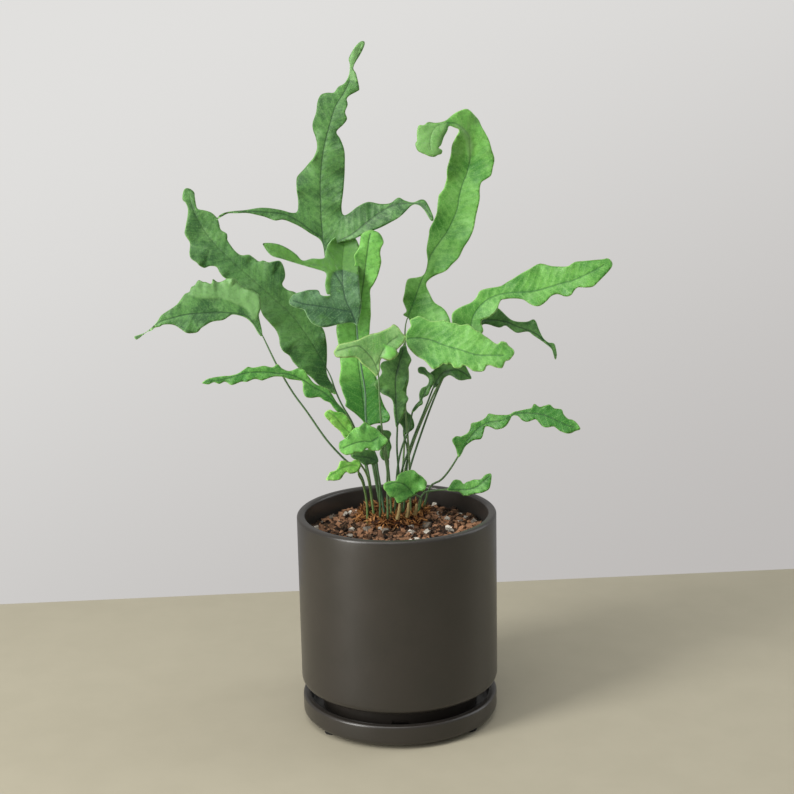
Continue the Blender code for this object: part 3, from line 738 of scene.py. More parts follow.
def web_leaf(foot, stalk, ribs, outline, green, ruffle, ruffle_length, pale=(), look=None):
    """A frond's design, in millimetres from the middle of the mix: foot and stalk as (x, y) and
    (x, y, z), each midrib as (x, y, z), and its outline and its curled zones as (x, z)."""
    return {
        "foot": foot,
        "stalk": stalk,
        "ribs": ribs,
        "outline": outline,
        "green": green,
        "ruffle": ruffle,
        "ruffle_length": ruffle_length,
        "pale": pale,
        "look": look or {},
    }


def grow(designs):
    """Makes each frond of a group, with a seed of its own."""
    for name, design in designs.items():
        piece = web_frond(name, design, FIRST_SEED + len(fronds))
        fronds.append(piece)
        print(piece.name, len(piece.data.polygons), "faces")


print("stalks from", 2 * STALK_RADII[0], "mm to", 2 * STALK_RADII[-2], "mm thick")

# %% [markdown]
# ## Lobed fronds
# The tallest frond splits into three like a bird's foot, and the bluish one behind the
# middle does too. Each lobe has a midrib that branches off the main one.

# %% Lobed fronds
grow({
    "tall_lobed": web_leaf(
        (-10, 27),
        [(-13, 24, 30), (-18, 21, 62), (-25, 19, 98), (-32, 18, 128), (-36, 15, 148)],
        [[
            (-37, 10.5, 159), (-38, 10, 169), (-38.5, 9.5, 181.5), (-38.5, 9, 192.5),
            (-38, 8, 203.5), (-36, 7, 217), (-32.5, 6, 229.5), (-29, 7, 240),
            (-24.5, 8, 247), (-21, 9, 253.5), (-19.5, 11, 261), (-14, 14, 273),
        ], [
            (-36.5, 10, 162), (-31, 8, 166), (-22.5, 6, 170), (-14, 4, 176.5), (-6, 2, 182.5),
            (2.5, 0, 187), (12, -2, 188), (18, -5, 186.5), (22, -8, 181),
        ], [
            (-38, 10, 168.5), (-45, 8, 173.5), (-52, 7, 179), (-59.5, 6, 182.5),
            (-69.5, 4, 184), (-78, 2, 184.8),
        ]],
        [
            (-39, 167), (-45, 171.5), (-51.5, 176), (-59, 179.5), (-64, 179.5), (-71, 182),
            (-79.5, 184), (-88, 184), (-91.5, 183), (-96, 180.5), (-93.5, 183.5), (-89, 185),
            (-80.5, 185.5), (-70.5, 186.5), (-61, 185), (-54.5, 183), (-51.5, 184), (-51, 190),
            (-51.5, 195.5), (-51.5, 201.5), (-50, 204), (-47, 207), (-44, 210.5),
            (-41.5, 213.5), (-39.5, 218.5), (-40, 223.5), (-41.5, 228), (-41.5, 232),
            (-39.5, 237.5), (-38.5, 243.5), (-36.5, 247), (-33, 248), (-29.5, 248), (-27, 251),
            (-23.5, 253), (-21, 257.5), (-20.5, 263), (-21, 266), (-17.5, 272), (-14, 275),
            (-12, 274), (-14, 269), (-18.5, 261.5), (-17, 257.5), (-15.5, 250), (-16.5, 248.5),
            (-20.5, 246.5), (-22.5, 244.5), (-22, 241.5), (-23.5, 237.5), (-22.5, 234),
            (-24.5, 231), (-28.5, 227), (-26.5, 223), (-24.5, 217), (-24.5, 208.5),
            (-25.5, 196), (-27, 185.5), (-26, 181), (-22.5, 182.5), (-18, 186), (-12.5, 188.5),
            (-5.5, 187.5), (0, 188), (4.5, 191), (8, 189.5), (12.5, 188.5), (17, 190),
            (20, 188.5), (23.5, 180.5), (22, 179), (18.5, 184.5), (15.5, 187), (12, 187),
            (7.5, 183), (1.5, 178.5), (-6, 174.5), (-12.5, 172), (-21, 168), (-28.5, 166),
            (-33, 163.5), (-36.5, 158.5),
        ],
        "mid",
        1.6,
        24,
        pale=[[(-25, 256), (-8, 256), (-6, 280), (-26, 280)]],
        look={"Patch Scale": 40.0, "Edge Width": 0.25},
    ),
    "blue_lobed": web_leaf(
        (-7, 5),
        [(-10, -3, 35), (-14, -12, 57), (-16, -14, 71), (-16, -13, 85), (-18, -11, 100),
         (-19.5, -9, 115)],
        [[
            (-20, -8.5, 122.5), (-22.5, -8, 129.5), (-25.5, -8, 136), (-27, -6, 144.5),
            (-27, 3, 155.5), (-26, 14, 165),
        ], [
            (-22.5, -8, 129.5), (-31.5, -9, 131.5), (-40, -11, 133.5), (-48, -12.5, 135),
            (-54, -14, 137),
        ], [
            (-27, -6, 143.5), (-33, -3, 152), (-42, -1, 155), (-49.5, 0, 156),
            (-58.5, 0, 160.5), (-68, 0, 165),
        ]],
        [
            (-19.5, 122), (-21.5, 123.5), (-26.5, 124), (-32, 123), (-37.5, 122.5),
            (-43.5, 124.5), (-46.5, 128), (-48.5, 132), (-53, 133.5), (-56.5, 135.5),
            (-55.5, 139), (-52.5, 141), (-48, 142), (-41, 142), (-39, 139.5), (-35, 139),
            (-34, 139.5), (-36, 140), (-36.8, 145), (-36, 149.5), (-37, 151.3), (-40.5, 152.5),
            (-47.5, 154.5), (-55.5, 157), (-61, 159), (-66.5, 161), (-70.5, 166), (-70, 167.5),
            (-63.5, 167), (-57.5, 164.5), (-52.5, 161), (-49, 157.5), (-43.5, 158.5),
            (-37.3, 158.5), (-36.3, 162), (-35, 165.5), (-32, 168.5), (-27, 171), (-22, 170.5),
            (-18, 165), (-17.5, 158), (-18, 151.5), (-18, 146), (-17.5, 139.5),
            (-17, 133), (-18, 127),
        ],
        "blue",
        1.0,
        15,
        pale=[[
            (-76, 172), (-74, 161), (-58, 154), (-45, 151), (-39, 146), (-37.5, 137.5),
            (-33.5, 138), (-32.5, 148), (-28, 151), (-15, 150), (-12, 172), (-40, 176),
        ]],
        look={"Patch Scale": 60.0, "Patch Shift": -0.03},
    ),
})

# %% [markdown]
# ## Two big fronds on the left
# One stands up and waves strongly along both margins. The other arches over to the left, and
# the far half of it shows its paler underside.

# %% Two big fronds on the left
grow({
    "left_wavy": web_leaf(
        (-14, 23),
        [(-17, 17, 32), (-23, 12, 58), (-30, 9, 73)],
        [[
            (-33.5, 8, 82), (-36, 8, 90), (-41.5, 8, 101.5), (-49, 8, 114.5), (-57.5, 9, 126),
            (-67.5, 10, 135.5), (-78.5, 11, 146), (-89.5, 12, 156.5), (-99, 14, 166),
            (-105, 15, 174.5), (-109.5, 15, 183.5), (-112, 16, 192.5),
        ]],
        [
            (-115, 196), (-112.5, 196.5), (-109.5, 194.5), (-109, 192), (-108.5, 188.5),
            (-107.5, 185.5), (-104, 184.5), (-100, 183), (-97, 180), (-96, 177.5),
            (-95, 173.5), (-92, 171.5), (-91.5, 169.5), (-91.5, 167.5), (-88.5, 163),
            (-84.5, 159.5), (-80, 159.5), (-78, 158), (-74.5, 155.5), (-72, 156), (-69, 155),
            (-66.5, 155.5), (-63, 155.5), (-61, 153), (-60, 149.5), (-60, 146), (-61.5, 142.5),
            (-59, 139.5), (-54, 137.5), (-49, 132), (-45.5, 126.5), (-42, 121), (-38.5, 115.5),
            (-37.5, 108.5), (-37.5, 100.5), (-38, 93.5), (-37, 89), (-34.5, 84.5), (-33, 80),
            (-36, 81), (-39, 82.5), (-42, 85), (-44, 87), (-46.5, 90), (-51.5, 94.5),
            (-54, 96.5), (-56.5, 99.5), (-58.5, 103), (-61.5, 106), (-63.5, 109.5),
            (-64, 113.5), (-65.5, 117), (-68.5, 121.5), (-72, 125.5), (-74, 129.5),
            (-74.5, 133), (-75, 135.5), (-77, 138), (-80, 139), (-83.5, 141), (-87, 143.5),
            (-90.5, 146), (-93.5, 147.5), (-96, 150.5), (-98, 153.5), (-101.5, 154),
            (-104.5, 153), (-107, 154.5), (-108.5, 156.5), (-111.5, 158.5), (-112.5, 161.5),
            (-112.5, 167), (-115, 172), (-114.5, 175.5), (-113.5, 180.5), (-113, 185),
            (-114, 188.5), (-116, 191),
        ],
        "mid",
        1.2,
        19,
        pale=[[
            (-59.5, 140), (-54, 137.5), (-49, 132), (-48, 127), (-52, 130), (-56.5, 132),
            (-58.5, 136),
        ]],
        look={"Patch Scale": 42.0, "Rib Strength": 0.25},
    ),
    "left_arching": web_leaf(
        (-17, 17),
        [(-19, 12, 27), (-23, 8, 35), (-30, 4, 43), (-39, 0, 55), (-49, -4, 72), (-57, -7, 85),
         (-65, -9, 101)],
        [[
            (-72.5, -10, 118.5), (-77, -10.5, 125.5), (-80.5, -11, 129), (-86, -11.5, 130.5),
            (-94.5, -13, 131.5), (-101, -14, 131.5), (-107.5, -15, 131.5), (-114, -16, 131),
            (-121, -18, 129.5), (-127, -19, 128), (-132, -20, 124.5), (-136, -20.5, 122),
            (-140, -21, 120),
        ]],
        [
            (-141, 120.5), (-140, 119), (-138.5, 119.5), (-136.5, 121), (-133.5, 123),
            (-131.5, 123.5), (-129.5, 125), (-127, 125.5), (-125, 126.5), (-121.5, 126.5),
            (-118, 125.5), (-115.5, 124), (-112, 122), (-110, 121.5), (-106.5, 122),
            (-104.5, 124), (-102, 125.5), (-98.5, 127), (-93, 127.5), (-90, 129), (-88, 130),
            (-85, 129.5), (-81, 128), (-78.5, 126), (-76.5, 123.5), (-74, 119), (-72, 117.5),
            (-72, 120.5), (-73, 125.5), (-73.5, 129), (-72.5, 132.5), (-72.5, 138),
            (-73.5, 140.5), (-77, 142.5), (-80.5, 143.5), (-83, 145), (-84.5, 147),
            (-86.5, 149.5), (-90, 149.5), (-93, 148), (-95.5, 147.5), (-98, 149.5), (-99, 147),
            (-102, 148), (-103.5, 148), (-106, 149), (-108, 146.5), (-110, 145.5), (-111, 143),
            (-113.5, 142), (-115.5, 139.5), (-117.5, 137), (-121, 134.5), (-126, 131.5),
            (-127.5, 129.5), (-129, 127.5), (-131.5, 125), (-135, 122.5), (-138, 121.5),
        ],
        "mid",
        0.9,
        13,
        pale=[[
            (-111, 143), (-110, 145.5), (-106, 150), (-98, 150), (-86, 150.5), (-82, 145),
            (-73.5, 141), (-71.5, 135), (-73.5, 127.5), (-76.5, 126), (-80.5, 131.5),
            (-88, 135.5), (-94.5, 138), (-105, 138.5), (-110.5, 140.5),
        ]],
        look={"Patch Scale": 70.0, "Patch Shift": 0.02},
    ),
})

# %% [markdown]
# ## Two fronds on the right
# A long one reaches out to the right like a tongue, and a darker one droops behind it.

# %% Two fronds on the right
grow({
    "right_long": web_leaf(
        (2, 19),
        [(5, 16, 30), (11, 13, 50), (19, 10, 70), (25, 8, 83), (32, 6, 94), (37, 4.5, 105)],
        [[
            (43.5, 3.5, 117.5), (45.5, 3, 124.5), (50.5, 2, 131), (57, 1, 135), (65.5, 0, 137),
            (75.5, -1, 137.5), (81.5, -2, 138.5), (88, -3, 140.5), (94.5, -4, 142.5),
            (100, -5, 144), (106.5, -6, 147), (110.5, -7, 149), (117, -8, 152.5),
        ]],
        [
            (33.5, 120), (33, 125), (35, 127.5), (39, 129.5), (44, 131.5), (47, 134.5),
            (49, 138), (54, 139.5), (60.5, 140.5), (64, 142.5), (67, 144.5), (72.5, 148),
            (77, 150.5), (81.5, 152.5), (84.5, 152.5), (89, 151.5), (94.5, 151.5), (97.5, 152),
            (101, 154), (105.5, 154.5), (110.5, 155), (116, 155.5), (119, 156), (121, 154.5),
            (121.5, 152.5), (120, 150), (116, 146), (113.5, 143.5), (110.5, 141),
            (106.5, 140.5), (102.5, 140.5), (100.5, 139), (98.5, 136.5), (95.5, 135.5),
            (91.5, 136.5), (88, 135.5), (85.5, 133), (82.5, 131), (79.5, 130.5), (76, 131.5),
            (72.5, 133.5), (67, 134), (62.5, 133.5), (60.5, 133), (59, 130.5), (58.5, 128.5),
            (56, 125.5), (53.5, 123.5), (50.5, 122.5), (49.5, 120.5), (50.5, 116), (48, 114),
            (45, 115), (41, 117), (36.5, 118.5),
        ],
        "bright",
        1.2,
        26,
        pale=[[
            (58.5, 133), (61.5, 135), (67, 134.5), (67, 133), (61.5, 133), (60, 128),
            (56.5, 124.5), (53.5, 122.5), (51, 121.5), (52, 125), (56, 128),
        ]],
        look={"Patch Scale": 48.0},
    ),
    "right_drooping": web_leaf(
        (4, 24),
        [(8, 21, 30), (15, 19, 52), (23, 16, 74), (31, 14, 92), (39, 12, 105)],
        [[
            (45.5, 11.5, 113.5), (50.5, 11, 119), (56, 10, 120), (63.5, 9, 119), (71, 8, 116),
            (79, 7, 113), (85.5, 5, 108.5), (89.5, 4, 104), (91, 3, 99.5),
        ]],
        [
            (44.5, 114.5), (47.5, 118.5), (50.5, 120), (54, 123), (59, 126.5), (61.5, 125),
            (64, 122.5), (67, 120), (71, 119), (76.5, 119), (79.5, 120), (81, 118.5),
            (82, 115.5), (83.5, 112), (85, 109.5), (87.5, 107.5), (90.5, 107), (91.5, 104.5),
            (92, 100.5), (91, 98), (90, 101), (89, 104), (85.5, 107), (82, 109.5), (79, 111.5),
            (76, 113.5), (70, 113), (66.5, 115), (63.5, 117), (60.5, 116), (57.5, 116.5),
            (54.5, 117.5), (51, 117.5), (48, 114), (46, 112),
        ],
        "dark",
        0.9,
        14,
    ),
})

# %% [markdown]
# ## Fronds in the middle
# A broad one faces the front. Behind it stand a long strap, whose foot is in the shade, a
# folded pale one and a dark one.

# %% Fronds in the middle
grow({
    "front_broad": web_leaf(
        (8, 6),
        [(8, 3, 34), (7, 1, 59), (5, -1, 83), (3, -3, 96)],
        [[
            (7.5, -4, 113), (14, -5, 113.5), (21.5, -7.5, 112.5), (27, -9.5, 110.5),
            (32.5, -12, 109), (37, -14, 108), (42, -15.5, 106.5), (46.5, -17, 105.5),
            (52.5, -18.5, 105.5), (60.5, -20, 105.5),
        ]],
        [
            (7.5, 110.5), (7, 114.5), (8, 117.5), (10, 120), (9.5, 123), (12, 124.5),
            (14.5, 125.5), (17.5, 124.5), (21, 123), (25, 123), (28.5, 123.5), (31.5, 122.5),
            (35, 122), (37.5, 121), (41.5, 121.5), (44, 120), (46, 118.5), (48.5, 117.5),
            (50.5, 115.5), (53, 114), (57, 111.5), (59.5, 113), (62.5, 112), (63.5, 110.5),
            (66, 108.5), (66.5, 106.5), (65, 104.5), (63.5, 103), (61.5, 102.5), (60.5, 100.5),
            (59.5, 99), (57.5, 99), (55.5, 99.5), (53, 100.5), (51, 100), (50, 98), (48, 97),
            (45.5, 97), (43.5, 97.5), (41.5, 99), (40, 100), (38.5, 100.5), (37, 99),
            (35, 98.5), (33, 99), (31.5, 101), (29.5, 100.5), (27.5, 101), (25.5, 99.5),
            (22, 98), (19.5, 100), (17, 102.5), (13, 104.5), (9.5, 107.5),
        ],
        "bright",
        0.8,
        15,
        look={"Patch Scale": 60.0, "Patch Shift": 0.04, "Edge Width": 0.7},
    ),
    "strap": web_leaf(
        (-9, 9),
        [(-11, 3, 32), (-13, -3, 48)],
        [[
            (-15.5, -6, 65.5), (-17, -6, 74.5), (-18, -5.5, 84.5), (-19.5, -4.5, 98.5),
            (-20.5, -3, 109.5), (-20, -1, 122.5), (-17.5, 1, 134.5), (-16, 1, 143),
            (-14, -2, 156), (-12, -5, 168.5), (-11, -6, 172.5),
        ]],
        [
            (-13, 116.5), (-14, 109.5), (-13, 101.5), (-10.5, 94.5), (-9, 89), (-8, 83),
            (-5.5, 75.5), (-3, 72), (-2.5, 69.5), (-3.5, 67.5), (-7.5, 66), (-11.5, 65.5),
            (-15.5, 64.5), (-18.5, 68), (-22.5, 72), (-25.5, 74.5), (-27.5, 76.5), (-27, 79),
            (-28.5, 83), (-29.5, 86.5), (-30.5, 90.5), (-29.5, 97.5), (-30, 104), (-30.5, 111),
            (-31.5, 118.5), (-30.5, 124), (-28.5, 130.5), (-25.5, 139), (-23, 145),
            (-23.5, 149), (-21.5, 152), (-20, 156), (-20.5, 160), (-18, 164), (-17, 168),
            (-16.5, 171), (-14.5, 173), (-11.5, 174), (-8.5, 173.5), (-6, 172), (-4.5, 169.5),
            (-4, 167), (-5.5, 164), (-6, 161), (-5.5, 156.5), (-6.5, 152), (-8, 147.5),
            (-10, 143.5), (-12, 140), (-12, 135), (-12, 130), (-12, 126), (-12.5, 122),
        ],
        "fresh",
        0.9,
        17,
        pale=[[
            (-36, 88), (-27.5, 87.5), (-19, 87), (-13.5, 87.5), (-9.5, 92), (-7.5, 91),
            (-11.5, 86), (-18, 85.5), (-27.5, 86), (-36, 86),
        ]],
        # the strap's foot gets the strongest painted shade
        look={"Patch Scale": 46.0, "Patch Shift": 0.1, "Foot Length": 32.0, "Painted Foot Shade": 1.0},
    ),
    "folded": web_leaf(
        (-3, 2.5),
        [(-4, -7, 38), (-7, -15, 63), (-8, -19, 80)],
        [[
            (-8.5, -20, 98), (-10.5, -20.5, 103.5), (-14, -21, 108.5), (-18.5, -21.5, 112.5),
            (-24.5, -22, 112), (-30.5, -22, 110.5),
        ], [
            (-9.5, -20, 101), (-6, -20, 109), (-2, -19, 114), (3, -18.5, 117),
        ]],
        [
            (-32.5, 110), (-31.5, 111.5), (-29.5, 114), (-24, 115), (-19.5, 116),
            (-15.5, 117.5), (-12.5, 118.5), (-8, 119.5), (-5, 120.5), (-1.5, 122),
            (0.5, 123.5), (3, 122), (5, 119), (7, 117), (6, 114), (4, 112), (2, 110), (3, 108),
            (0.5, 105.5), (-3.5, 104.5), (-6.5, 105.5), (-7.5, 101.5), (-7.5, 99), (-9.5, 96),
            (-11, 97.5), (-14.5, 101), (-17.5, 103.5), (-20, 106.5), (-23.5, 107),
            (-28.5, 107), (-31.5, 107.5),
        ],
        "olive",
        0.6,
        12,
        pale=[[
            (-6.5, 114), (-1, 112.5), (1.5, 111), (2.5, 108), (0.5, 105.5), (-3.5, 105),
            (-7, 106), (-5, 109.5),
        ]],
        look={"Patch Scale": 60.0, "Edge Width": 0.8},
    ),
    "centre_dark": web_leaf(
        (3, 5),
        [(2, 0, 31), (1, -5, 50)],
        [[
            (1.5, -9, 65.5), (1, -10, 73.5), (1, -11, 82.5), (1, -12, 91.5), (3, -12, 100),
            (5.5, -11, 108),
        ]],
        [
            (7, 110.5), (8, 107), (10, 103), (9, 100), (8, 97), (8, 93), (6.5, 88),
            (5.5, 85.5), (7, 82.5), (8, 80.5), (6.5, 77), (5.5, 72.5), (3.5, 68), (1, 64),
            (0, 69), (-0.5, 73.5), (-0.5, 77), (-1.5, 80.5), (-4, 82.5), (-7, 84),
            (-9.5, 86.5), (-11, 89.5), (-9.5, 91.5), (-6.5, 95.5), (-7.5, 99), (-6, 101.5),
            (-2.5, 102.5), (0.5, 103.5), (3, 106.5), (4, 109),
        ],
        "dark",
        0.9,
        15,
        pale=[[
            (-10.5, 90.5), (-8, 85.5), (-3.5, 84), (-0.5, 81), (-2, 79), (-4.5, 81.5),
            (-8.5, 83.5), (-11.5, 87.5),
        ]],
        look={"Patch Scale": 60.0},
    ),
})

# %% [markdown]
# ## Young fronds at the crown
# Six small ones, the youngest of them yellow-green. They are short, so their outlines need
# only a few points.

# %% Young fronds at the crown
grow({
    "front_small": web_leaf(
        (-5, -1),
        [(-5, -6, 28), (-5, -13, 42)],
        [[
            (-9, -19, 61), (-13, -21, 59), (-17, -24, 59.5), (-22.5, -26, 59),
            (-28.5, -28, 57),
        ]],
        [
            (-31, 57.5), (-30.5, 60), (-28, 61.5), (-25.5, 64), (-22.5, 66.5), (-19, 68),
            (-16.5, 69.5), (-13.5, 67.5), (-10.5, 66), (-7.5, 63), (-4, 60), (-5, 57.5),
            (-7.5, 55.5), (-10, 54.5), (-14, 54.5), (-15.5, 56), (-18, 54.5), (-21.5, 54),
            (-25, 53.5), (-27.5, 53.5), (-30, 55),
        ],
        "fresh",
        1.3,
        9,
        look={"Patch Shift": 0.04, "Patch Scale": 80.0},
    ),
    "front_under": web_leaf(
        (-9.5, 1),
        [(-9, -4, 27), (-10, -9, 38)],
        [[
            (-11, -12, 46), (-15, -15, 48), (-19, -18, 49), (-23.5, -20, 50),
        ]],
        [
            (-25, 50.5), (-21.5, 52), (-17.5, 52.5), (-12.5, 52.5), (-10.5, 49.5),
            (-9.5, 45.5), (-12, 44), (-14.5, 44.5), (-16, 44), (-18, 45), (-20.5, 47),
            (-23.5, 48.5),
        ],
        "dark",
        0.7,
        9,
    ),
    "left_light": web_leaf(
        (-13, 6.5),
        [(-16, 0, 32), (-21, -8, 45)],
        [[
            (-25, -12, 62), (-29, -14, 66.5), (-33, -16, 72), (-37.5, -18, 75.5),
        ]],
        [
            (-39, 73.5), (-37.5, 75.5), (-35.5, 76), (-33.5, 75), (-29.5, 74), (-26.5, 72),
            (-24.5, 68.5), (-23, 64.5), (-25, 61.5), (-27.5, 59.5), (-29, 61), (-30.5, 63.5),
            (-33.5, 66.5), (-36.5, 70),
        ],
        "young",
        0.7,
        8,
    ),
    "left_young": web_leaf(
        (-17, 10),
        [(-17, 5, 16), (-19, -3, 30), (-21, -8, 36)],
        [[
            (-21, -10, 42.5), (-25.5, -12.5, 43), (-30.5, -16, 42), (-34.5, -19, 40),
            (-38.5, -21, 38),
        ]],
        [
            (-39, 37), (-37.5, 39.5), (-36.5, 41), (-33.5, 41.5), (-32, 43.5), (-31, 46),
            (-28.5, 46), (-25, 45), (-23, 46), (-20, 45), (-19.5, 42), (-21, 40), (-23, 39),
            (-25.5, 39), (-27.5, 40), (-29, 39), (-30.5, 37), (-33.5, 36.5), (-37, 36.5),
        ],
        "young",
        0.8,
        8,
    ),
    "centre_small": web_leaf(
        (-5, 12),
        [(-5, 8, 29), (-4, 5, 40)],
        [[
            (-5.5, 4, 41.5), (-6, 3.5, 47), (-6.5, 3, 53), (-8, 2, 59.5),
        ]],
        [
            (-10.5, 59), (-9.5, 61.5), (-7.5, 61), (-7, 59), (-3.5, 58.5), (-2, 56.5),
            (-3, 53.5), (-2, 49), (-3, 46), (-3.5, 42.5), (-5, 41), (-7.5, 42), (-9, 45.5),
            (-8, 49.5), (-9, 54.5),
        ],
        "dark",
        0.7,
        8,
    ),
    "rim_round": web_leaf(
        (12, 8),
        [(14, 4, 14), (14, -3, 20)],
        [[
            (10, -8, 24.5), (7.5, -10, 28), (4, -13, 31.5), (-0.5, -16, 33), (-5.5, -18, 32),
        ]],
        [
            (-7, 30.5), (-6.5, 33), (-3.5, 34), (0, 34), (1, 36.5), (4, 38), (9.5, 39),
            (13, 36.5), (17, 32.5), (17.5, 30.5), (16, 27.5), (12.5, 26), (10, 24), (7, 23),
            (4.5, 22), (1, 21.5), (-1, 24.5), (-3.5, 25.5), (-5.5, 28.5),
        ],
        "fresh",
        1.0,
        14,
        look={"Patch Shift": 0.03},
    ),
})

# %% [markdown]
# ## The hooked frond
# A long strap that climbs to the right and bends over at its top. Its midrib turns round with
# it, so that the tip hangs down.

# %% The hooked frond
grow({
    "hooked": web_leaf(
        (0, 28),
        [(4, 26, 29), (6, 25, 59), (7, 24, 89)],
        [[
            (7, 22, 113), (9.5, 21.5, 122.5), (12, 21.5, 128.5), (15.5, 22, 138),
            (18.5, 24, 145), (22.5, 24.5, 155.5), (28.5, 25, 164), (32.5, 25.5, 169.5),
            (37.5, 26, 180.5), (39, 27, 188), (41, 28, 195), (43, 28.5, 199.5),
            (44.5, 29, 204.5), (45.5, 29, 210), (45.5, 28, 215.5), (45, 26, 221.5),
            (42, 23, 225.5), (37.5, 21, 229), (32.5, 19, 229.5), (27.5, 18, 228.5),
            (24.5, 17, 225.5), (23, 16.5, 221.5), (23, 16, 215.5),
        ]],
        [
            (9, 120), (6, 122), (8, 124), (7, 127), (6, 130.5), (7, 135), (8, 140),
            (9.5, 142.5), (14, 143), (17.5, 144), (19.5, 147), (20.5, 152.5), (20, 158.5),
            (21, 164.5), (21.5, 167), (22, 170.5), (24.5, 175.5), (26, 179.5), (26.5, 183.5),
            (27, 187), (27.5, 189.5), (30, 192.5), (31, 195), (32, 199), (32, 204),
            (33.5, 209), (34.5, 213), (35, 217), (37, 221.5), (39, 225.5), (36.5, 227),
            (33.5, 228), (32.5, 225.5), (30.5, 222), (29, 218), (27.5, 216.5), (29.5, 215),
            (29, 213), (27, 212.5), (25, 211.5), (22, 212), (20, 213), (17.5, 214),
            (15.5, 215.5), (14.5, 219), (15.5, 220.5), (15.5, 224.5), (16, 227.5), (17, 229),
            (19.5, 229), (22, 230.5), (26, 230), (30, 230.5), (32.5, 231.5), (35, 233.5),
            (38, 235.5), (43, 237), (45.5, 236), (47.5, 234), (50.5, 230.5), (52, 227),
            (54, 223.5), (56, 219.5), (57.5, 214), (59, 209), (58, 204), (57, 200),
            (54.5, 198), (51.5, 196), (50.5, 192), (50.5, 187.5), (49.5, 182.5), (48, 176.5),
            (46.5, 170), (44.5, 165.5), (41.5, 160.5), (38.5, 155), (34, 150.5), (31, 147.5),
            (26.5, 145), (21.5, 142), (19.5, 139), (21.5, 134), (24, 129.5), (28, 127),
            (30.5, 124.5), (32.5, 120), (32.5, 116.5), (30.5, 112.5), (24.5, 111), (16.5, 113),
            (11, 116.5),
        ],
        "bright",
        1.5,
        26,
        pale=[[
            (33.5, 228), (38.5, 229.5), (42.5, 227), (46, 223), (48, 216.5), (46.5, 209.5),
            (44, 205), (43, 211), (41.5, 220), (38.5, 225),
        ], [
            (32, 231), (33, 227.5), (29, 218), (30, 212), (22.5, 210.5), (14, 215.5),
            (14.5, 229.5), (22, 231.5),
        ]],
        look={"Patch Scale": 45.0, "Patch Shift": 0.04},
    ),
})

# %% [markdown]
# ## Narrow and low fronds
# These three spread out low over the rim, one to the left and two to the right.

# %% Narrow and low fronds
grow({
    "left_narrow": web_leaf(
        (-13, 12),
        [(-15, 5, 29), (-19, -3, 52), (-23, -8, 64)],
        [[
            (-27.5, -9, 72.5), (-33, -10, 78.5), (-38, -10.5, 84), (-44.5, -11, 88),
            (-50.5, -12, 92.5), (-57.5, -14, 96), (-64, -15, 97), (-70.5, -16, 98),
            (-79, -18, 98.5), (-85.5, -20, 97.5), (-94, -22, 95.5), (-103, -23.5, 95),
        ]],
        [
            (-105, 94.5), (-101.5, 96.5), (-94.5, 97.5), (-90, 97.5), (-85.5, 98.5),
            (-82, 100.5), (-80, 101.5), (-77, 101), (-71.5, 101.5), (-67, 100.5), (-64, 102),
            (-61.5, 99.5), (-57.5, 98), (-53, 99), (-49.5, 98), (-47.5, 94.5), (-44.5, 90.5),
            (-41, 88.5), (-36.5, 86.5), (-34.5, 83.5), (-32, 79), (-28.5, 75), (-26.5, 72),
            (-30, 72.5), (-33.5, 75.5), (-36, 79), (-39, 80.5), (-41.5, 82.5), (-45.5, 82.5),
            (-49, 83.5), (-50.5, 86.5), (-50.5, 90), (-51, 92), (-53, 92.5), (-57.5, 93.5),
            (-61, 95), (-66, 95.5), (-70.5, 94.5), (-72.5, 94), (-76.5, 95), (-80.5, 94),
            (-84, 94), (-87, 93), (-89.5, 93), (-92.5, 94.5), (-95.5, 93.5), (-98.5, 94.5),
            (-101.5, 93.5), (-104.5, 94),
        ],
        "fresh",
        0.9,
        10,
        look={"Patch Shift": -0.04},
    ),
    "right_low": web_leaf(
        (16, 22),
        [(20, 20, 20), (26, 16, 25), (31, 12, 32)],
        [[
            (36.5, 8.5, 42), (40, 7, 49), (43.5, 5, 54), (48.5, 3.5, 59.5), (54, 2, 62.5),
            (61.5, 1, 64), (65.5, 0, 66), (68.5, -1, 68), (72.5, -2, 68.5), (78, -3.5, 68.5),
            (83.5, -5, 68), (89, -6.5, 66), (94.5, -8.5, 63.5), (100.5, -10, 61.5),
        ]],
        [
            (36, 41.5), (34.5, 47), (32.5, 51.5), (34.5, 53.5), (38, 54), (41.5, 56),
            (43, 58.5), (43.5, 61.5), (46.5, 62.5), (49.5, 63.5), (52, 65.5), (53.5, 67.5),
            (57, 67), (61.5, 67), (65, 67.5), (67.5, 69), (70, 69.5), (73.5, 70.5), (77, 71.5),
            (79, 73.5), (82, 72), (84.5, 73), (87.5, 73.5), (90, 71.5), (94, 71), (95, 68.5),
            (97.5, 66), (100, 65.5), (102.5, 63.5), (104, 60.5), (101, 59.5), (98.5, 58.5),
            (94.5, 59), (92, 60), (89, 62), (85.5, 61.5), (83, 62), (81, 64), (79.5, 65.5),
            (77.5, 65), (74.5, 64), (72, 64.5), (70, 66.5), (68.5, 67), (66.5, 66.5), (65, 64),
            (63, 61), (59.5, 59.5), (57, 59), (54, 60), (51.5, 60), (50.5, 57), (49, 53),
            (45.5, 52), (43, 50.5), (40, 47.5), (38, 43.5),
        ],
        "fresh",
        1.0,
        11,
        look={"Patch Shift": -0.09, "Patch Scale": 60.0},
    ),
    "right_short": web_leaf(
        (11, 18),
        [(15, 16, 16), (20, 14.5, 19)],
        [[
            (30, 12, 20.5), (36, 10, 21), (41.5, 8, 21.5), (46.5, 6, 23.5), (51, 4, 27.5),
            (54, 3, 30),
        ]],
        [
            (29.5, 20.5), (31, 23), (33.5, 26.5), (37, 26.5), (39, 24.5), (41, 26), (45, 27.5),
            (48.5, 28), (51, 30.5), (54, 31.5), (55, 30.5), (54.5, 26.5), (53.5, 23),
            (50.5, 21), (47.5, 20), (43.5, 19), (39.5, 18), (37.5, 19), (36, 20), (33, 20),
        ],
        "fresh",
        0.8,
        9,
    ),
})

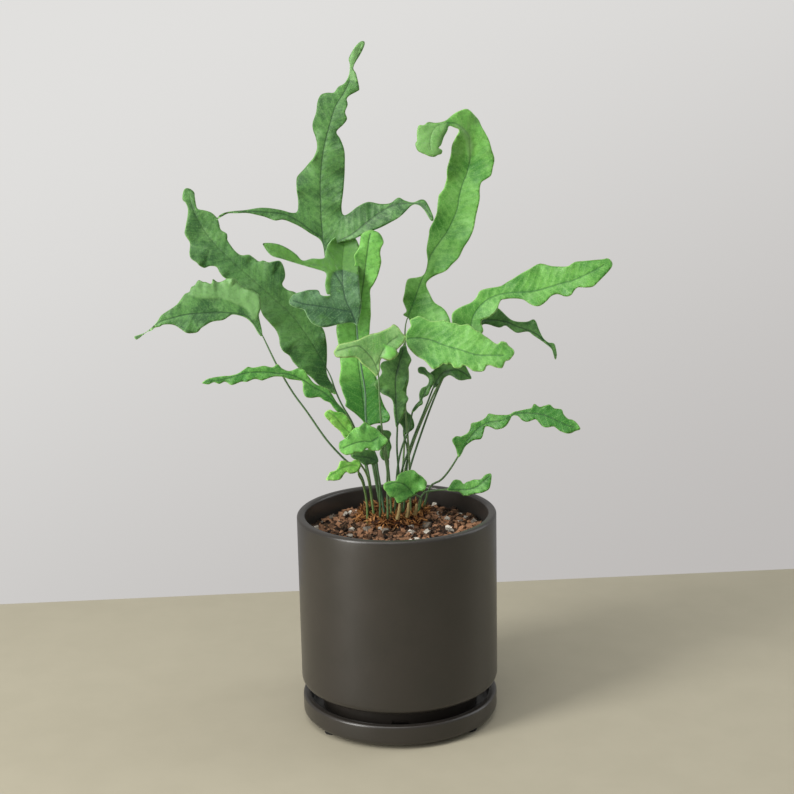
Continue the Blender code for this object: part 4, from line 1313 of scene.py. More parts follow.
# %% [markdown]
# ## Fronds behind the others
# Three dark narrow ones, which show only between the rest.

# %% Fronds behind the others
grow({
    "under_front": web_leaf(
        (-1, 15),
        [(3, 10, 31), (10, 6, 52), (17, 3, 70)],
        [[
            (22.5, 0, 84.5), (27, -1, 92), (34, -3, 94.5), (38.5, -4.5, 93.5),
            (42.5, -5.5, 90.5),
        ]],
        [
            (23, 94.5), (27, 99.5), (31.5, 100), (35.5, 99), (39, 98.5), (40.5, 96.5),
            (42, 93.5), (43.5, 90), (41, 89.5), (38, 89), (35.5, 89.5), (33, 91), (31, 91.5),
            (28.5, 90), (26, 87), (24, 85), (22, 84), (22, 86.5), (20.5, 87), (19.5, 89.5),
            (20, 92),
        ],
        "dark",
        0.8,
        10,
    ),
    "beaded": web_leaf(
        (-1, 7),
        [(1, 1, 36), (4, 0, 50), (8, -2, 60)],
        [[
            (10.5, -5.5, 72.5), (15, -6.5, 78.5), (17.5, -7.5, 83.5), (20, -8.5, 89.5),
            (16.5, -9.5, 95.5),
        ]],
        [
            (9.5, 72), (11.5, 75), (14, 77.5), (14, 82), (15.5, 85.5), (18.5, 87),
            (19.5, 90.5), (17, 93), (14, 94), (13.5, 96.5), (15, 97.5), (17.5, 97), (19, 95),
            (22, 92.5), (22.5, 88.5), (20.5, 85), (19, 81.5), (16, 79.5), (16, 76.5), (14, 75),
            (11, 72),
        ],
        "dark",
        0.6,
        9,
    ),
    "centre_hidden": web_leaf(
        (4, 12),
        [(6, 11, 29), (7, 10, 45)],
        [[
            (5, 9.5, 55), (6, 9, 63), (5, 9, 72), (4, 9, 81), (4.5, 9, 89.5), (6, 9, 97),
        ]],
        [
            (5, 53.5), (4.5, 59), (2, 62.5), (1, 65.5), (0, 72), (-1, 81), (0, 89.5),
            (3.5, 97), (7, 98), (8.5, 93.5), (8.5, 86.5), (7, 80.5), (7, 75), (7, 69),
            (9.5, 66), (11, 62.5), (11, 59), (8.5, 56.5), (6.5, 55.5),
        ],
        "dark",
        1.0,
        12,
    ),
})

# %% [markdown]
# ## Turned ware
# The pot and its saucer are thrown and turned, so each is one outline carried round an axis. That
# is a rule, and a Geometry Nodes tree states it: the outline becomes a curve, a circle is its
# path, and Curve to Mesh does the turning. Spin or a Screw modifier would do the same, but the
# tree keeps the number of steps as an input and serves both pieces.

# %% The turning tree
TURN_LINE = 30.0
STEPS_AROUND = 224


def finished(tree, geometry, material):
    """The last two steps of every tree: real geometry, with its finish."""
    plain = put(tree, "GeometryNodeRealizeInstances", {"Geometry": geometry})
    inputs = {"Geometry": plain.outputs[0], "Material": material}
    return put(tree, "GeometryNodeSetMaterial", inputs).outputs[0]


def make_turning_tree():
    inputs = [
        ("Geometry", "NodeSocketGeometry", None),
        ("Steps Around", "NodeSocketInt", STEPS_AROUND),
        ("Circle Radius", "NodeSocketFloat", TURN_LINE * MM),
        ("Glaze", "NodeSocketMaterial", None),
    ]
    outputs = [("Geometry", "NodeSocketGeometry")]
    tree, given, result = new_group("turned_ware", "GeometryNodeTree", inputs, outputs)
    outline = put(tree, "GeometryNodeMeshToCurve", {"Mesh": given["Geometry"]})
    sizes = {"Resolution": given["Steps Around"], "Radius": given["Circle Radius"]}
    path = put(tree, "GeometryNodeCurvePrimitiveCircle", sizes)
    path = put(tree, "GeometryNodeSetCurveNormal", {"Curve": path.outputs["Curve"]}, mode="Z_UP")
    curves = {"Curve": path.outputs["Curve"], "Profile Curve": outline.outputs["Curve"]}
    turned = put(tree, "GeometryNodeCurveToMesh", curves)
    closed = {"Geometry": turned.outputs["Mesh"], "Distance": 1e-5}
    joined = put(tree, "GeometryNodeMergeByDistance", closed)
    tree.links.new(finished(tree, joined.outputs[0], given["Glaze"]), result["Geometry"])
    return tree


TURNING_TREE = make_turning_tree()


def evaluated_mesh(source):
    """The mesh that an object's modifiers make."""
    bpy.context.view_layer.update()
    graph = bpy.context.evaluated_depsgraph_get()
    return bpy.data.meshes.new_from_object(
        source.evaluated_get(graph), preserve_all_data_layers=True, depsgraph=graph
    )


def apply_tree(source, tree, name, values):
    """The result of a Geometry Nodes tree on an object, as a plain mesh object."""
    modifier = source.modifiers.new(tree.name, "NODES")
    modifier.node_group = tree
    for item in tree.interface.items_tree:
        if item.item_type == "SOCKET" and item.in_out == "INPUT" and item.name in values:
            modifier[item.identifier] = values[item.name]
    mesh = evaluated_mesh(source)
    source.modifiers.clear()
    bpy.data.objects.remove(source)
    mesh.name = name
    return place_in_scene(name, mesh)


print("turning tree:", len(TURNING_TREE.nodes), "nodes")

# %% [markdown]
# ## Glazed charcoal
# The outside is a smooth charcoal body with a fine sandy speckle, and a satin glaze covers the
# inside and the lip. A number stored on the mesh says where the glaze starts. The thumb and the
# wheel leave faint rings, so part of the bump is a noise stretched out level.

# %% The ceramic finish
SPECKLE_SCALE = 2600.0
CLOUD_SCALE = 38.0
RING_SCALE = (12.0, 12.0, 420.0)
GLAZE_ROUGHNESS = 0.3
CERAMIC_BUMP_MM = 0.08


def make_ceramic():
    material, tree, shader = new_material("charcoal_ceramic", GLAZE_ROUGHNESS, 0.6)
    place = put(tree, "ShaderNodeTexCoord").outputs["Object"]
    speckle = noise(tree, place, SPECKLE_SCALE, 2.0, 0.8)
    cloud = noise(tree, place, CLOUD_SCALE, 4.0, 0.6)
    body = blend(tree, spread(tree, cloud, 0.35, 0.65), linear(44, 41, 37), linear(47, 43, 39))
    body = blend(tree, spread(tree, speckle, 0.6, 0.78, 0.0, 0.35), body, linear(72, 68, 62))
    body = blend(tree, spread(tree, speckle, 0.4, 0.25, 0.0, 0.5), body, linear(26, 25, 23))
    glaze = reading(tree, "glaze")
    colour = blend(tree, glaze, body, linear(56, 53, 50))
    tree.links.new(colour, shader.inputs["Base Color"])
    matt = spread(tree, cloud, 0.3, 0.7, 0.3, 0.34)
    rough = put(tree, "ShaderNodeMix", {0: glaze, 2: matt, 3: GLAZE_ROUGHNESS}).outputs[0]
    tree.links.new(rough, shader.inputs["Roughness"])
    stretched = put(tree, "ShaderNodeMapping", {"Vector": place, "Scale": RING_SCALE})
    rings = noise(tree, stretched.outputs[0], 1.0, 2.0)
    height = calc(tree, "ADD", calc(tree, "MULTIPLY", rings, 0.6), speckle)
    raise_surface(tree, shader, height, CERAMIC_BUMP_MM, 0.4)
    return material


CERAMIC = make_ceramic()
print("ceramic:", len(CERAMIC.node_tree.nodes), "nodes")

# %% [markdown]
# ## The pot and the saucer
# Their outlines are corners with a rounding each, taken inwards from the outside radius in the
# frame. The pot has a foot ring with three notches, which let water out into the saucer. They
# are cut with a Boolean, because they are the only thing on it that isn't round.

# %% Outlines with rounded corners
CORNER_STEPS = 8
LONGEST_EDGE = 6.0


def rounded(corners):
    """A closed outline through (radius, height, rounding) corners."""
    outline = []
    for index, (radius, height, rounding) in enumerate(corners):
        here = Vector((radius, height))
        if rounding == 0:
            outline.append(here)
            continue
        before = (Vector(corners[index - 1][:2]) - here).normalized()
        after = (Vector(corners[(index + 1) % len(corners)][:2]) - here).normalized()
        half = before.angle(after) / 2
        centre = here + (before + after).normalized() * (rounding / math.sin(half))
        start = here + before * (rounding / math.tan(half)) - centre
        end = here + after * (rounding / math.tan(half)) - centre
        sweep = math.pi - 2 * half
        for step in range(CORNER_STEPS + 1):
            angle = sweep * step / CORNER_STEPS
            mixed = start * math.sin(sweep - angle) + end * math.sin(angle)
            outline.append(centre + mixed / math.sin(sweep))
    return outline


def divided(outline):
    """The same outline with its long edges cut into steps, so that shading stays even."""
    points = []
    for here, after in zip(outline, outline[1:] + outline[:1]):
        steps = max(1, math.ceil((after - here).length / LONGEST_EDGE))
        points += [here.lerp(after, step / steps) for step in range(steps)]
    return points


def turned_piece(name, outline, glazed):
    """Turns an outline into a piece, and marks the points that `glazed` picks."""
    outline = divided(outline)
    flat = [((point.x - TURN_LINE) * MM, -point.y * MM, 0.0) for point in outline]
    count = len(flat)
    mesh = bpy.data.meshes.new(f"{name}_outline")
    mesh.from_pydata(flat, [(index, (index + 1) % count) for index in range(count)], [])
    source = place_in_scene(f"{name}_outline", mesh)
    values = {"Steps Around": STEPS_AROUND, "Glaze": CERAMIC}
    piece = apply_tree(source, TURNING_TREE, name, values)
    shape = bmesh.new()
    shape.from_mesh(piece.data)
    bmesh.ops.dissolve_degenerate(shape, edges=shape.edges, dist=1e-7)
    bmesh.ops.recalc_face_normals(shape, faces=shape.faces)
    shape.to_mesh(piece.data)
    shape.free()
    places = np.array([vertex.co for vertex in piece.data.vertices]) / MM
    layer = piece.data.attributes.new("glaze", "FLOAT", "POINT")
    radius = np.hypot(places[:, 0], places[:, 1])
    layer.data.foreach_set("value", glazed(radius, places[:, 2]).astype(np.float32))
    piece.data.transform(Matrix.Translation((AXIS_X * MM, AXIS_Y * MM, 0.0)))
    piece.data.shade_smooth()
    return piece


def make_saucer():
    """A flat dish with an upright wall; the glaze covers its inside and the top of its wall."""
    floor_top = saucer_low.z + 4.5
    inner = SAUCER_RADIUS - 4.7
    outline = rounded(
        [
            (0.0, saucer_low.z, 0.0),
            (SAUCER_RADIUS, saucer_low.z, 3.5),
            (SAUCER_RADIUS, saucer_high.z, 1.6),
            (inner, saucer_high.z, 1.6),
            (inner, floor_top, 2.5),
            (0.0, floor_top, 0.0),
        ]
    )

    def glazed(radius, height):
        dish = (radius < inner + 1.2) & (height > floor_top - 1.0)
        lip = (radius < inner + 3) & (height > saucer_high.z - 0.9)
        return dish | lip

    return turned_piece("fine_saucer", outline, glazed)


# %% The pot's notches and its outline
POT_WALL = 4.8
POT_FLOOR_LOW = pot_low.z + 13.7
POT_FLOOR_TOP = POT_FLOOR_LOW + 5.5
FOOT_OUTSIDE, FOOT_INSIDE = 45.0, 40.0
DRAIN_RADIUS = 6.0
NOTCH_COUNT, NOTCH_WIDTH, NOTCH_HEIGHT = 3, 10.0, 4.0


def cut_notches(pot):
    """Water notches through the foot ring, evenly round it."""
    radius = (FOOT_OUTSIDE + FOOT_INSIDE) / 2
    reach = 4 * (FOOT_OUTSIDE - FOOT_INSIDE)
    for number in range(NOTCH_COUNT):
        angle = math.radians(30 + 360 * number / NOTCH_COUNT)
        tool = place_in_scene("notch", bpy.data.meshes.new("notch"))
        shape = bmesh.new()
        bmesh.ops.create_cube(shape, size=1.0)
        size = (reach * MM, NOTCH_WIDTH * MM, 2 * NOTCH_HEIGHT * MM)
        bmesh.ops.scale(shape, verts=shape.verts, vec=size)
        shape.to_mesh(tool.data)
        shape.free()
        place = in_frame([(radius * math.cos(angle), radius * math.sin(angle), pot_low.z)])[0]
        tool.data.transform(Matrix.Translation(place) @ Matrix.Rotation(angle, 4, "Z"))
        cut = pot.modifiers.new("notch", "BOOLEAN")
        cut.operation = "DIFFERENCE"
        cut.object = tool
        mesh = evaluated_mesh(pot)
        pot.modifiers.clear()
        pot.data = mesh
        bpy.data.objects.remove(tool)


def make_pot():
    """A straight wall on a foot ring; the glaze covers its inside and most of its lip."""
    inner = POT_RADIUS - POT_WALL
    outline = rounded(
        [
            (POT_RADIUS, POT_FLOOR_LOW, 5.0),
            (POT_RADIUS, RIM_TOP, 1.7),
            (inner, RIM_TOP, 1.7),
            (inner, POT_FLOOR_TOP, 4.0),
            (DRAIN_RADIUS, POT_FLOOR_TOP, 0.6),
            (DRAIN_RADIUS, POT_FLOOR_LOW, 0.6),
            (FOOT_INSIDE, POT_FLOOR_LOW, 1.0),
            (FOOT_INSIDE, pot_low.z, 0.8),
            (FOOT_OUTSIDE, pot_low.z, 0.8),
            (FOOT_OUTSIDE, POT_FLOOR_LOW, 1.0),
        ]
    )

    def glazed(radius, height):
        bowl = (radius < inner + 0.5) & (height > POT_FLOOR_TOP - 0.5)
        lip = (radius < POT_RADIUS - 0.6) & (height > RIM_TOP - 0.8)
        return bowl | lip

    pot = turned_piece("fine_pot", outline, glazed)
    cut_notches(pot)
    return pot


keep(make_saucer(), "pot_ceramic", "saucer")
keep(make_pot(), "pot_ceramic", "pot")
print("pot and saucer turned")

# %% [markdown]
# ## The saucer's feet
# The CAD pads already have the right shape, so only their finish changes: a soft dark rubber
# with a dusty surface.

# %% Rubber on the feet


def make_rubber():
    material, tree, shader = new_material("pad_rubber", 0.75, 0.3)
    place = put(tree, "ShaderNodeTexCoord").outputs["Object"]
    dust = noise(tree, place, 900.0, 3.0, 0.6)
    colour = blend(tree, spread(tree, dust, 0.4, 0.7), linear(24, 24, 25), linear(46, 45, 44))
    tree.links.new(colour, shader.inputs["Base Color"])
    tree.links.new(spread(tree, dust, 0.3, 0.7, 0.65, 0.85), shader.inputs["Roughness"])
    raise_surface(tree, shader, dust, 0.05, 0.4)
    return material


RUBBER = make_rubber()
for number in (1, 2, 3):
    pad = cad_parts[f"saucer_foot_{number}"]
    pad.data.materials.clear()
    pad.data.materials.append(RUBBER)
print("feet finished:", RUBBER.name)

# %% [markdown]
# ## The potting mix
# The mix is bark, peat and perlite. Its body is one closed mound that fills the pot. What shows
# is loose stuff on top of it, so a Geometry Nodes tree scatters chips over the mound: it picks
# random places, stands a lumpy chip on each, and turns and stretches it. The same tree makes the
# bark, the fine crumbs and the perlite, with its named inputs set differently.

# %% The mound
MIX_GAP = 0.4
MIX_RADIUS = POT_RADIUS - POT_WALL - MIX_GAP
MOUND_RISE, MOUND_WIDTH = 3.5, 17.0
CLOD_RISE = 0.7


def mix_height(x, y):
    """The mix's level at a point: a mound at the crown and low clods around it."""
    from_crown = np.hypot(x + 1.0, y - 15.0)
    mound = np.exp(-((from_crown / MOUND_WIDTH) ** 2))
    clods = np.sin(0.31 * x + 1.0) * np.cos(0.27 * y + 0.4) + 0.6 * np.sin(0.23 * (x + y))
    return MIX_LEVEL + MOUND_RISE * mound + CLOD_RISE * clods * (1.0 - mound)


def mix_material(name, dark, light, roughness, grain=900.0):
    """A crumbly finish; each chip is darker or lighter by its own stored number."""
    material, tree, shader = new_material(name, roughness, 0.25)
    place = put(tree, "ShaderNodeTexCoord").outputs["Object"]
    fibre = noise(tree, place, grain, 4.0, 0.65)
    share = calc(tree, "ADD", calc(tree, "MULTIPLY", fibre, 0.6), reading(tree, "tone"))
    colour = blend(tree, spread(tree, share, 0.3, 1.25), dark, light)
    tree.links.new(colour, shader.inputs["Base Color"])
    rough = spread(tree, fibre, 0.3, 0.7, roughness - 0.12, roughness + 0.08)
    tree.links.new(rough, shader.inputs["Roughness"])
    raise_surface(tree, shader, fibre, 0.4, 0.8)
    return material


PEAT = mix_material("peat", linear(34, 26, 21), linear(98, 78, 60), 0.9)
BARK = mix_material("bark_chip", linear(32, 23, 19), linear(164, 122, 92), 0.85, grain=330.0)
PERLITE = mix_material("perlite_grain", linear(112, 104, 94), linear(222, 216, 204), 0.9)


def mound_rings(radii, steps):
    """Rings of points on top of the mix."""
    angle = round_angles(steps)
    flat = [(radius * np.cos(angle), radius * np.sin(angle)) for radius in radii]
    return [np.column_stack([x, y, mix_height(x, y)]) for x, y in flat]


def make_mound():
    """The mix's closed body, which fills the pot from its floor up."""
    floor = POT_FLOOR_TOP + 0.3
    around, rows = 96, 34
    angle = round_angles(around)
    levels = [(0.0, floor), (MIX_RADIUS - 4, floor), (MIX_RADIUS, floor + 4)]
    levels += [(MIX_RADIUS, floor + (MIX_LEVEL - floor) * share) for share in (0.3, 0.6, 0.98)]
    rings = [
        np.column_stack([radius * np.cos(angle), radius * np.sin(angle), np.full(around, level)])
        for radius, level in levels
    ]
    rings += mound_rings(MIX_RADIUS * np.linspace(1.0, 0.0, rows), around)
    points, faces = np.vstack(rings), ring_faces(len(rings), around)
    piece = mesh_piece("mix_mound", points, faces, PEAT, {"tone": np.zeros(len(points))})
    turn_outwards(piece.data, merge=1e-6)
    return keep(piece, "potting_mix", "potting_mix")


mound = make_mound()
print("mound:", len(mound.data.polygons), "faces")

# %% The scattering tree
CHIP_KINDS = 5
CORNERS_IN = -0.22


def scaled(tree, vector, factor):
    return put(tree, "ShaderNodeVectorMath", {0: vector, 3: factor}, operation="SCALE").outputs[0]


def random_number(tree, least=0.0, most=1.0, seed=0):
    inputs = {"Min": least, "Max": most, "Seed": seed}
    return put(tree, "FunctionNodeRandomValue", inputs, data_type="FLOAT").outputs[1]


def random_turn(tree, tilt, seed):
    """A turn of up to `tilt` either way about x and y, and any way about z."""
    most = put(tree, "ShaderNodeCombineXYZ", {0: tilt, 1: tilt, 2: math.pi}).outputs[0]
    inputs = {0: scaled(tree, most, -1.0), 1: most, "Seed": seed}
    return put(tree, "FunctionNodeRandomValue", inputs, data_type="FLOAT_VECTOR").outputs[0]


def spots_on(tree, given):
    """Random places on the given surface."""
    inputs = {"Mesh": given["Geometry"], "Density": given["Density"], "Seed": given["Seed"]}
    return put(tree, "GeometryNodeDistributePointsOnFaces", inputs).outputs


def toned(tree, instances, tone):
    """Stores a number on each instance, which its finish reads as its own tone."""
    inputs = {"Geometry": instances, "Name": "tone", "Value": tone}
    settings = {"data_type": "FLOAT", "domain": "INSTANCE"}
    return put(tree, "GeometryNodeStoreNamedAttribute", inputs, **settings).outputs[0]


def lumpy_chip(tree, given, kind):
    """A cut cube with its corners drawn in and its sides pushed about by noise."""
    position = put(tree, "GeometryNodeInputPosition").outputs[0]
    cube = put(tree, "GeometryNodeMeshCube", {"Size": (1.0, 1.0, 1.0)})
    cut = put(tree, "GeometryNodeSubdivideMesh", {"Mesh": cube.outputs["Mesh"], "Level": 1})
    moved = put(tree, "ShaderNodeVectorMath", {0: position, 1: (kind * 7.3, kind * 3.1, 0)})
    lumps = put(tree, "ShaderNodeTexNoise", {"Vector": moved.outputs[0], "Scale": 1.3})
    around_none = {0: lumps.outputs[1], 1: (0.5, 0.5, 0.5)}
    centred = put(tree, "ShaderNodeVectorMath", around_none, operation="SUBTRACT").outputs[0]
    lumpy = scaled(tree, centred, calc(tree, "MULTIPLY", given["Lumpiness"], 3.0))
    length = put(tree, "ShaderNodeVectorMath", {0: position}, operation="LENGTH")
    inward = scaled(tree, position, CORNERS_IN)
    corner = scaled(tree, inward, length.outputs["Value"])
    offset = put(tree, "ShaderNodeVectorMath", {0: lumpy, 1: corner}).outputs[0]
    inputs = {"Geometry": cut.outputs["Mesh"], "Offset": offset}
    shaped = put(tree, "GeometryNodeSetPosition", inputs).outputs[0]
    inputs = {"Geometry": shaped, "Scale": given["Chip Size"]}
    sized = put(tree, "GeometryNodeTransform", inputs).outputs[0]
    return put(tree, "GeometryNodeGeometryToInstance", {0: sized}).outputs[0]


def make_scatter_tree():
    inputs = [
        ("Geometry", "NodeSocketGeometry", None),
        ("Chip Size", "NodeSocketVector", (0.004, 0.002, 0.001)),
        ("Least Scale", "NodeSocketFloat", 0.5),
        ("Most Scale", "NodeSocketFloat", 1.5),
        ("Lumpiness", "NodeSocketFloat", 0.3),
        ("Density", "NodeSocketFloat", 80000.0),
        ("Tilt", "NodeSocketFloat", 0.5),
        ("Seed", "NodeSocketInt", 1),
        ("Finish", "NodeSocketMaterial", None),
    ]
    outputs = [("Geometry", "NodeSocketGeometry")]
    tree, given, result = new_group("scatter_on_mix", "GeometryNodeTree", inputs, outputs)
    kinds = put(tree, "GeometryNodeJoinGeometry")
    for kind in range(CHIP_KINDS):
        tree.links.new(lumpy_chip(tree, given, kind), kinds.inputs[0])
    size_seed = calc(tree, "ADD", given["Seed"], 5.0)
    inputs = {
        "Points": spots_on(tree, given)["Points"],
        "Instance": kinds.outputs[0],
        "Pick Instance": True,
        "Rotation": random_turn(tree, given["Tilt"], given["Seed"]),
        "Scale": random_number(tree, given["Least Scale"], given["Most Scale"], size_seed),
    }
    chips = put(tree, "GeometryNodeInstanceOnPoints", inputs).outputs[0]
    tone = random_number(tree, seed=calc(tree, "ADD", given["Seed"], 9.0))
    done = finished(tree, toned(tree, chips, tone), given["Finish"])
    tree.links.new(done, result["Geometry"])
    return tree


SCATTER_TREE = make_scatter_tree()
print("scatter tree:", len(SCATTER_TREE.nodes), "nodes")

# %% Scatter the mix


def mix_top(radius, lift):
    """The top of the mound within a radius, as a surface to scatter on."""
    around, rows = 48, 16
    rings = mound_rings(radius * np.linspace(1.0, 0.02, rows), around)
    mesh = bpy.data.meshes.new("mix_top")
    points = in_frame(np.vstack(rings) + (0.0, 0.0, lift))
    mesh.from_pydata(points.tolist(), [], ring_faces(rows, around))
    return place_in_scene("mix_top", mesh)


SCATTERS = {
    "bark_chips": (3.2, 0.3, {
        "Chip Size": (0.0042, 0.0022, 0.0013), "Least Scale": 0.4, "Most Scale": 1.5,
        "Lumpiness": 0.35, "Density": 150000.0, "Tilt": 0.7, "Seed": 11, "Finish": BARK}),
    "peat_crumbs": (1.6, 0.2, {
        "Chip Size": (0.0018, 0.0014, 0.0011), "Least Scale": 0.5, "Most Scale": 1.4,
        "Lumpiness": 0.35, "Density": 260000.0, "Tilt": 1.5, "Seed": 23, "Finish": PEAT}),
    "perlite": (3.0, 0.6, {
        "Chip Size": (0.0046, 0.0038, 0.003), "Least Scale": 0.35, "Most Scale": 1.2,
        "Lumpiness": 0.4, "Density": 9500.0, "Tilt": 1.5, "Seed": 37, "Finish": PERLITE}),
}
for name, (clearance, lift, values) in SCATTERS.items():
    piece = apply_tree(mix_top(MIX_RADIUS - clearance, lift), SCATTER_TREE, name, values)
    keep(piece, "potting_mix")
    print(name, len(piece.data.polygons), "faces")

# %% [markdown]
# ## Rhizomes
# The creeping stems are as thick as a finger's end and wear a coat of narrow papery scales,
# mostly red-brown with golden ones among them. A fur of curves would not survive the export, so
# each scale is a small pointed blade, stood on the stem by a third Geometry Nodes tree.

# %% The scale tree
SCALE_THINNESS = 0.3


def make_scale_tree():
    inputs = [
        ("Geometry", "NodeSocketGeometry", None),
        ("Scale Length", "NodeSocketFloat", 0.004),
        ("Scale Width", "NodeSocketFloat", 0.0009),
        ("Density", "NodeSocketFloat", 900000.0),
        ("Lean", "NodeSocketFloat", 1.1),
        ("Seed", "NodeSocketInt", 3),
        ("Finish", "NodeSocketMaterial", None),
    ]
    outputs = [("Geometry", "NodeSocketGeometry")]
    tree, given, result = new_group("rhizome_coat", "GeometryNodeTree", inputs, outputs)
    inputs = {"Vertices": 4, "Radius Top": 0.02, "Radius Bottom": 0.5, "Depth": 1.0}
    blade = put(tree, "GeometryNodeMeshCone", inputs).outputs["Mesh"]
    thin = calc(tree, "MULTIPLY", given["Scale Width"], SCALE_THINNESS)
    inputs = {0: given["Scale Width"], 1: thin, 2: given["Scale Length"]}
    size = put(tree, "ShaderNodeCombineXYZ", inputs).outputs[0]
    sized = put(tree, "GeometryNodeTransform", {"Geometry": blade, "Scale": size}).outputs[0]
    spots = spots_on(tree, given)
    upright = put(tree, "FunctionNodeAlignRotationToVector", {"Vector": spots["Normal"]}, axis="Z")
    lean = random_turn(tree, given["Lean"], given["Seed"])
    lean = put(tree, "FunctionNodeEulerToRotation", {"Euler": lean}).outputs[0]
    turned = put(tree, "FunctionNodeRotateRotation", rotation_space="LOCAL")
    tree.links.new(upright.outputs[0], turned.inputs["Rotation"])
    tree.links.new(lean, turned.inputs["Rotate By"])
    inputs = {
        "Points": spots["Points"],
        "Instance": sized,
        "Rotation": turned.outputs[0],
        "Scale": random_number(tree, 0.5, 1.3),
    }
    scales = put(tree, "GeometryNodeInstanceOnPoints", inputs).outputs[0]
    coat = toned(tree, scales, random_number(tree, seed=8))
    tree.links.new(finished(tree, coat, given["Finish"]), result["Geometry"])
    return tree


SCALE_TREE = make_scale_tree()
print("scale tree:", len(SCALE_TREE.nodes), "nodes")

# %% Rhizomes and their coats
RHIZOMES = {
    "rhizome_back": ([(-20, 13), (-15, 22), (-8, 27), (3, 27), (18, 23)], 5.0),
    "rhizome_middle": ([(-6, 13), (1, 16.5), (9, 16)], 3.8),
    "rhizome_front": ([(-15, 7), (-8, 4), (0, 3), (8, 5), (15, 8)], 4.2),
}
RHIZOME_SKIN = mix_material("rhizome_skin", linear(58, 36, 24), linear(140, 98, 60), 0.8)
RHIZOME_SCALE = mix_material(
    "rhizome_scale", linear(66, 34, 22), linear(196, 140, 84), 0.7, grain=420.0
)
STEM_STEP = 0.8
STEM_SIDES = 24


def make_stem(name, route, radius):
    """A creeping stem: knobbly, round on top and lying on the mix."""
    line = through([(x, y, 0.0) for x, y in route])
    gone = travelled(line)[-1]
    places = np.linspace(0.0, gone, round(gone / STEM_STEP))
    middle = points_at(line, places)
    ahead = unit(np.gradient(middle, axis=0))
    across = np.column_stack([ahead[:, 1], -ahead[:, 0], np.zeros(len(ahead))])
    from_end = np.minimum(places, gone - places) / radius
    size = radius * np.sqrt(np.maximum(0.02, 1.0 - np.maximum(0.0, 1.0 - from_end) ** 2))
    size *= 1.0 + 0.08 * np.sin(places * 0.9) + 0.05 * np.sin(places * 2.1 + 1.0)
    floor = mix_height(middle[:, 0], middle[:, 1]) + 0.35 * radius
    angle = round_angles(STEM_SIDES)
    points = middle[:, None] + across[:, None] * (size[:, None] * np.cos(angle))[..., None]
    points[..., 2] = floor[:, None] + size[:, None] * np.maximum(np.sin(angle), -0.6) * 0.95
    last = (len(places) - 1) * STEM_SIDES
    ends = [tuple(reversed(range(STEM_SIDES))), tuple(range(last, last + STEM_SIDES))]
    faces = ring_faces(len(places), STEM_SIDES) + ends
    flat = points.reshape(-1, 3)
    piece = mesh_piece(f"fine_{name}", flat, faces, RHIZOME_SKIN, {"tone": np.zeros(len(flat))})
    turn_outwards(piece.data)
    return piece


for seed, (name, (route, radius)) in enumerate(RHIZOMES.items(), start=3):
    stem = make_stem(name, route, radius)
    bare = place_in_scene(f"{name}_bare", stem.data.copy())
    values = {
        "Scale Length": 0.0042, "Scale Width": 0.0013, "Density": 800000.0,
        "Lean": 1.2, "Seed": seed, "Finish": RHIZOME_SCALE,
    }
    coat = apply_tree(bare, SCALE_TREE, f"{name}_scales", values)
    keep(stem, "rhizome", name)
    keep(coat, "rhizome")
    print(stem.name, "with", len(coat.data.polygons), "faces of scales")

# %% [markdown]
# ## Old stalk bases
# Three old stalks stand in front of the crown, pale and dry. Each is a short rod that narrows
# and swells again, made by the same function as the green stalks.

# %% Stalk bases
STUBS = ((0.5, -1.5, 1.5, -2.5, 9.0), (6.0, 0.5, 1.0, -3.0, 8.0), (10.5, 3.0, 1.0, -3.0, 6.0))
STUB_RADII = (1.3, 1.0, 0.9, 1.0, 0.6)
STRAW = mix_material("dry_stalk", linear(126, 104, 62), linear(206, 190, 134), 0.7, grain=1500.0)
for number, (x, y, lean_x, lean_y, length) in enumerate(STUBS, start=1):
    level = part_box(f"stalk_stub_{number}")[0].z / MM - 1.0
    foot = np.array([x, y, level])
    top = foot + (lean_x, lean_y, length + 1.0)
    middle = (foot + top) / 2 + (0.4, 0.0, 0.0)
    points, faces = rod(through([foot, middle, top]), STUB_RADII)
    tone = {"tone": np.full(len(points), 0.4)}
    piece = mesh_piece(f"dry_stalk_{number}", points, faces, STRAW, tone, smooth_angle=50)
    keep(piece, "stalk", f"stalk_stub_{number}")
print("stalk bases:", len(STUBS))

# %% [markdown]
# ## Floor, backdrop and light
# The pot stands on a plain pale table top, whose back edge shows behind it, in front of a plain
# pale wall. The wall is the world's colour, so it never catches a shadow, but that colour carries
# a painted fall-off of light: lighter at the upper left and darker towards the lower right. One
# large soft lamp at the upper left front is the window, two weaker ones stand for the ceiling and
# the wall on the right, and the world fills the shadows.

# %% Floor
TABLE_BACK = 211.0
TABLE_SLANT = 0.072
TABLE_REACH = 2600.0
TABLE_THICKNESS = 30.0


def make_floor():
    material, tree, shader = new_material("pale_table", 0.6, 0.25)
    place = put(tree, "ShaderNodeTexCoord").outputs["Object"]
    grain = noise(tree, place, 30.0, 4.0, 0.6)
    share = spread(tree, grain, 0.3, 0.7)
    colour = blend(tree, share, linear(178, 172, 152), linear(181, 175, 155))
    tree.links.new(colour, shader.inputs["Base Color"])
    left, right = (TABLE_BACK + TABLE_SLANT * x for x in (-TABLE_REACH, TABLE_REACH))
    corners = [(-TABLE_REACH, -TABLE_REACH), (TABLE_REACH, -TABLE_REACH)]
    corners += [(TABLE_REACH, right), (-TABLE_REACH, left)]
    points = [(x, y, z) for z in (0.0, -TABLE_THICKNESS) for x, y in corners]
    faces = [(0, 1, 2, 3), (7, 6, 5, 4), (0, 4, 5, 1), (1, 5, 6, 2), (2, 6, 7, 3), (3, 7, 4, 0)]
    floor = mesh_piece("table_top", points, faces, material, smooth_angle=30)
    return floor


print("floor:", tuple(round(x, 2) for x in make_floor().dimensions))

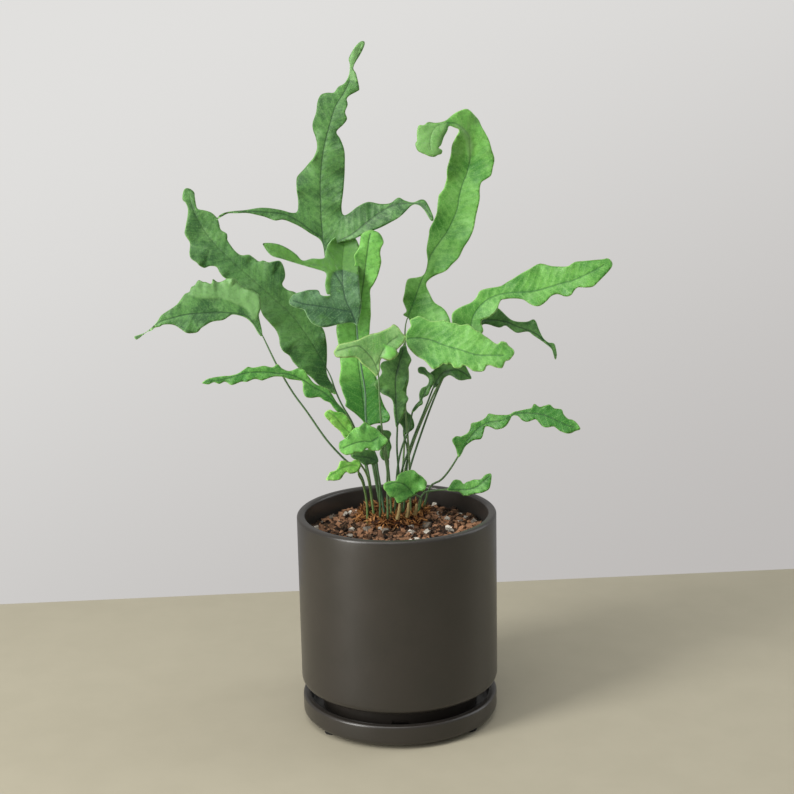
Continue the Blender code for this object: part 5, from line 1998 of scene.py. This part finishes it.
# %% Light
FILL_STRENGTH = 0.36
WARM, COOL = (1.0, 0.98, 0.95), (0.96, 0.98, 1.0)
LAMPS = (
    ("window", (-1000, -700, 620), (0, 0, 180), (0.4, 1.3), 20.0, WARM),
    ("overhead", (-250, -450, 1300), (0, 0, 180), (0.9, 0.9), 5.5, WARM),
    ("wall_glow", (900, 200, 600), (0, 0, 150), (0.5, 1.2), 3.0, COOL),
)


def add_light(name, place, target, size, power, colour):
    data = bpy.data.lights.new(name, "AREA")
    data.shape = "RECTANGLE"
    data.size, data.size_y = size
    data.energy = power
    data.color = colour
    lamp = bpy.data.objects.new(name, data)
    lamp.location = Vector(in_frame([place])[0])
    aim = Vector(in_frame([target])[0]) - lamp.location
    lamp.rotation_euler = aim.to_track_quat("-Z", "Y").to_euler()
    bpy.context.scene.collection.objects.link(lamp)
    return lamp


def set_world():
    """The wall that the camera sees, with painted fall-off of light, and a softer fill for the
    plant.
    """
    world = bpy.data.worlds.new("pale_room")
    bpy.context.scene.world = world
    world.use_nodes = True
    tree = world.node_tree
    tree.nodes.clear()
    ahead = put(tree, "ShaderNodeTexCoord").outputs[0]
    ahead = put(tree, "ShaderNodeSeparateXYZ", {0: ahead}).outputs
    # painted fall-off of light: the wall is lighter at the upper left and darker at the lower
    # right
    painted_falloff = calc(tree, "SUBTRACT", ahead["Z"], calc(tree, "MULTIPLY", ahead["X"], 0.45))
    wall = blend(tree, spread(tree, painted_falloff, -0.5, 0.1), linear(188, 185, 183), linear(225, 224, 222))
    seen = put(tree, "ShaderNodeBackground", {"Color": wall, "Strength": 1.0})
    soft = {"Color": (1.0, 0.99, 0.97), "Strength": FILL_STRENGTH}
    fill = put(tree, "ShaderNodeBackground", soft)
    path = put(tree, "ShaderNodeLightPath")
    shares = {0: path.outputs["Is Camera Ray"], 1: fill.outputs[0], 2: seen.outputs[0]}
    mixed = put(tree, "ShaderNodeMixShader", shares)
    put(tree, "ShaderNodeOutputWorld", {"Surface": mixed.outputs[0]})


set_world()
for lamp in LAMPS:
    add_light(*lamp)
bpy.context.scene.view_settings.view_transform = "Standard"
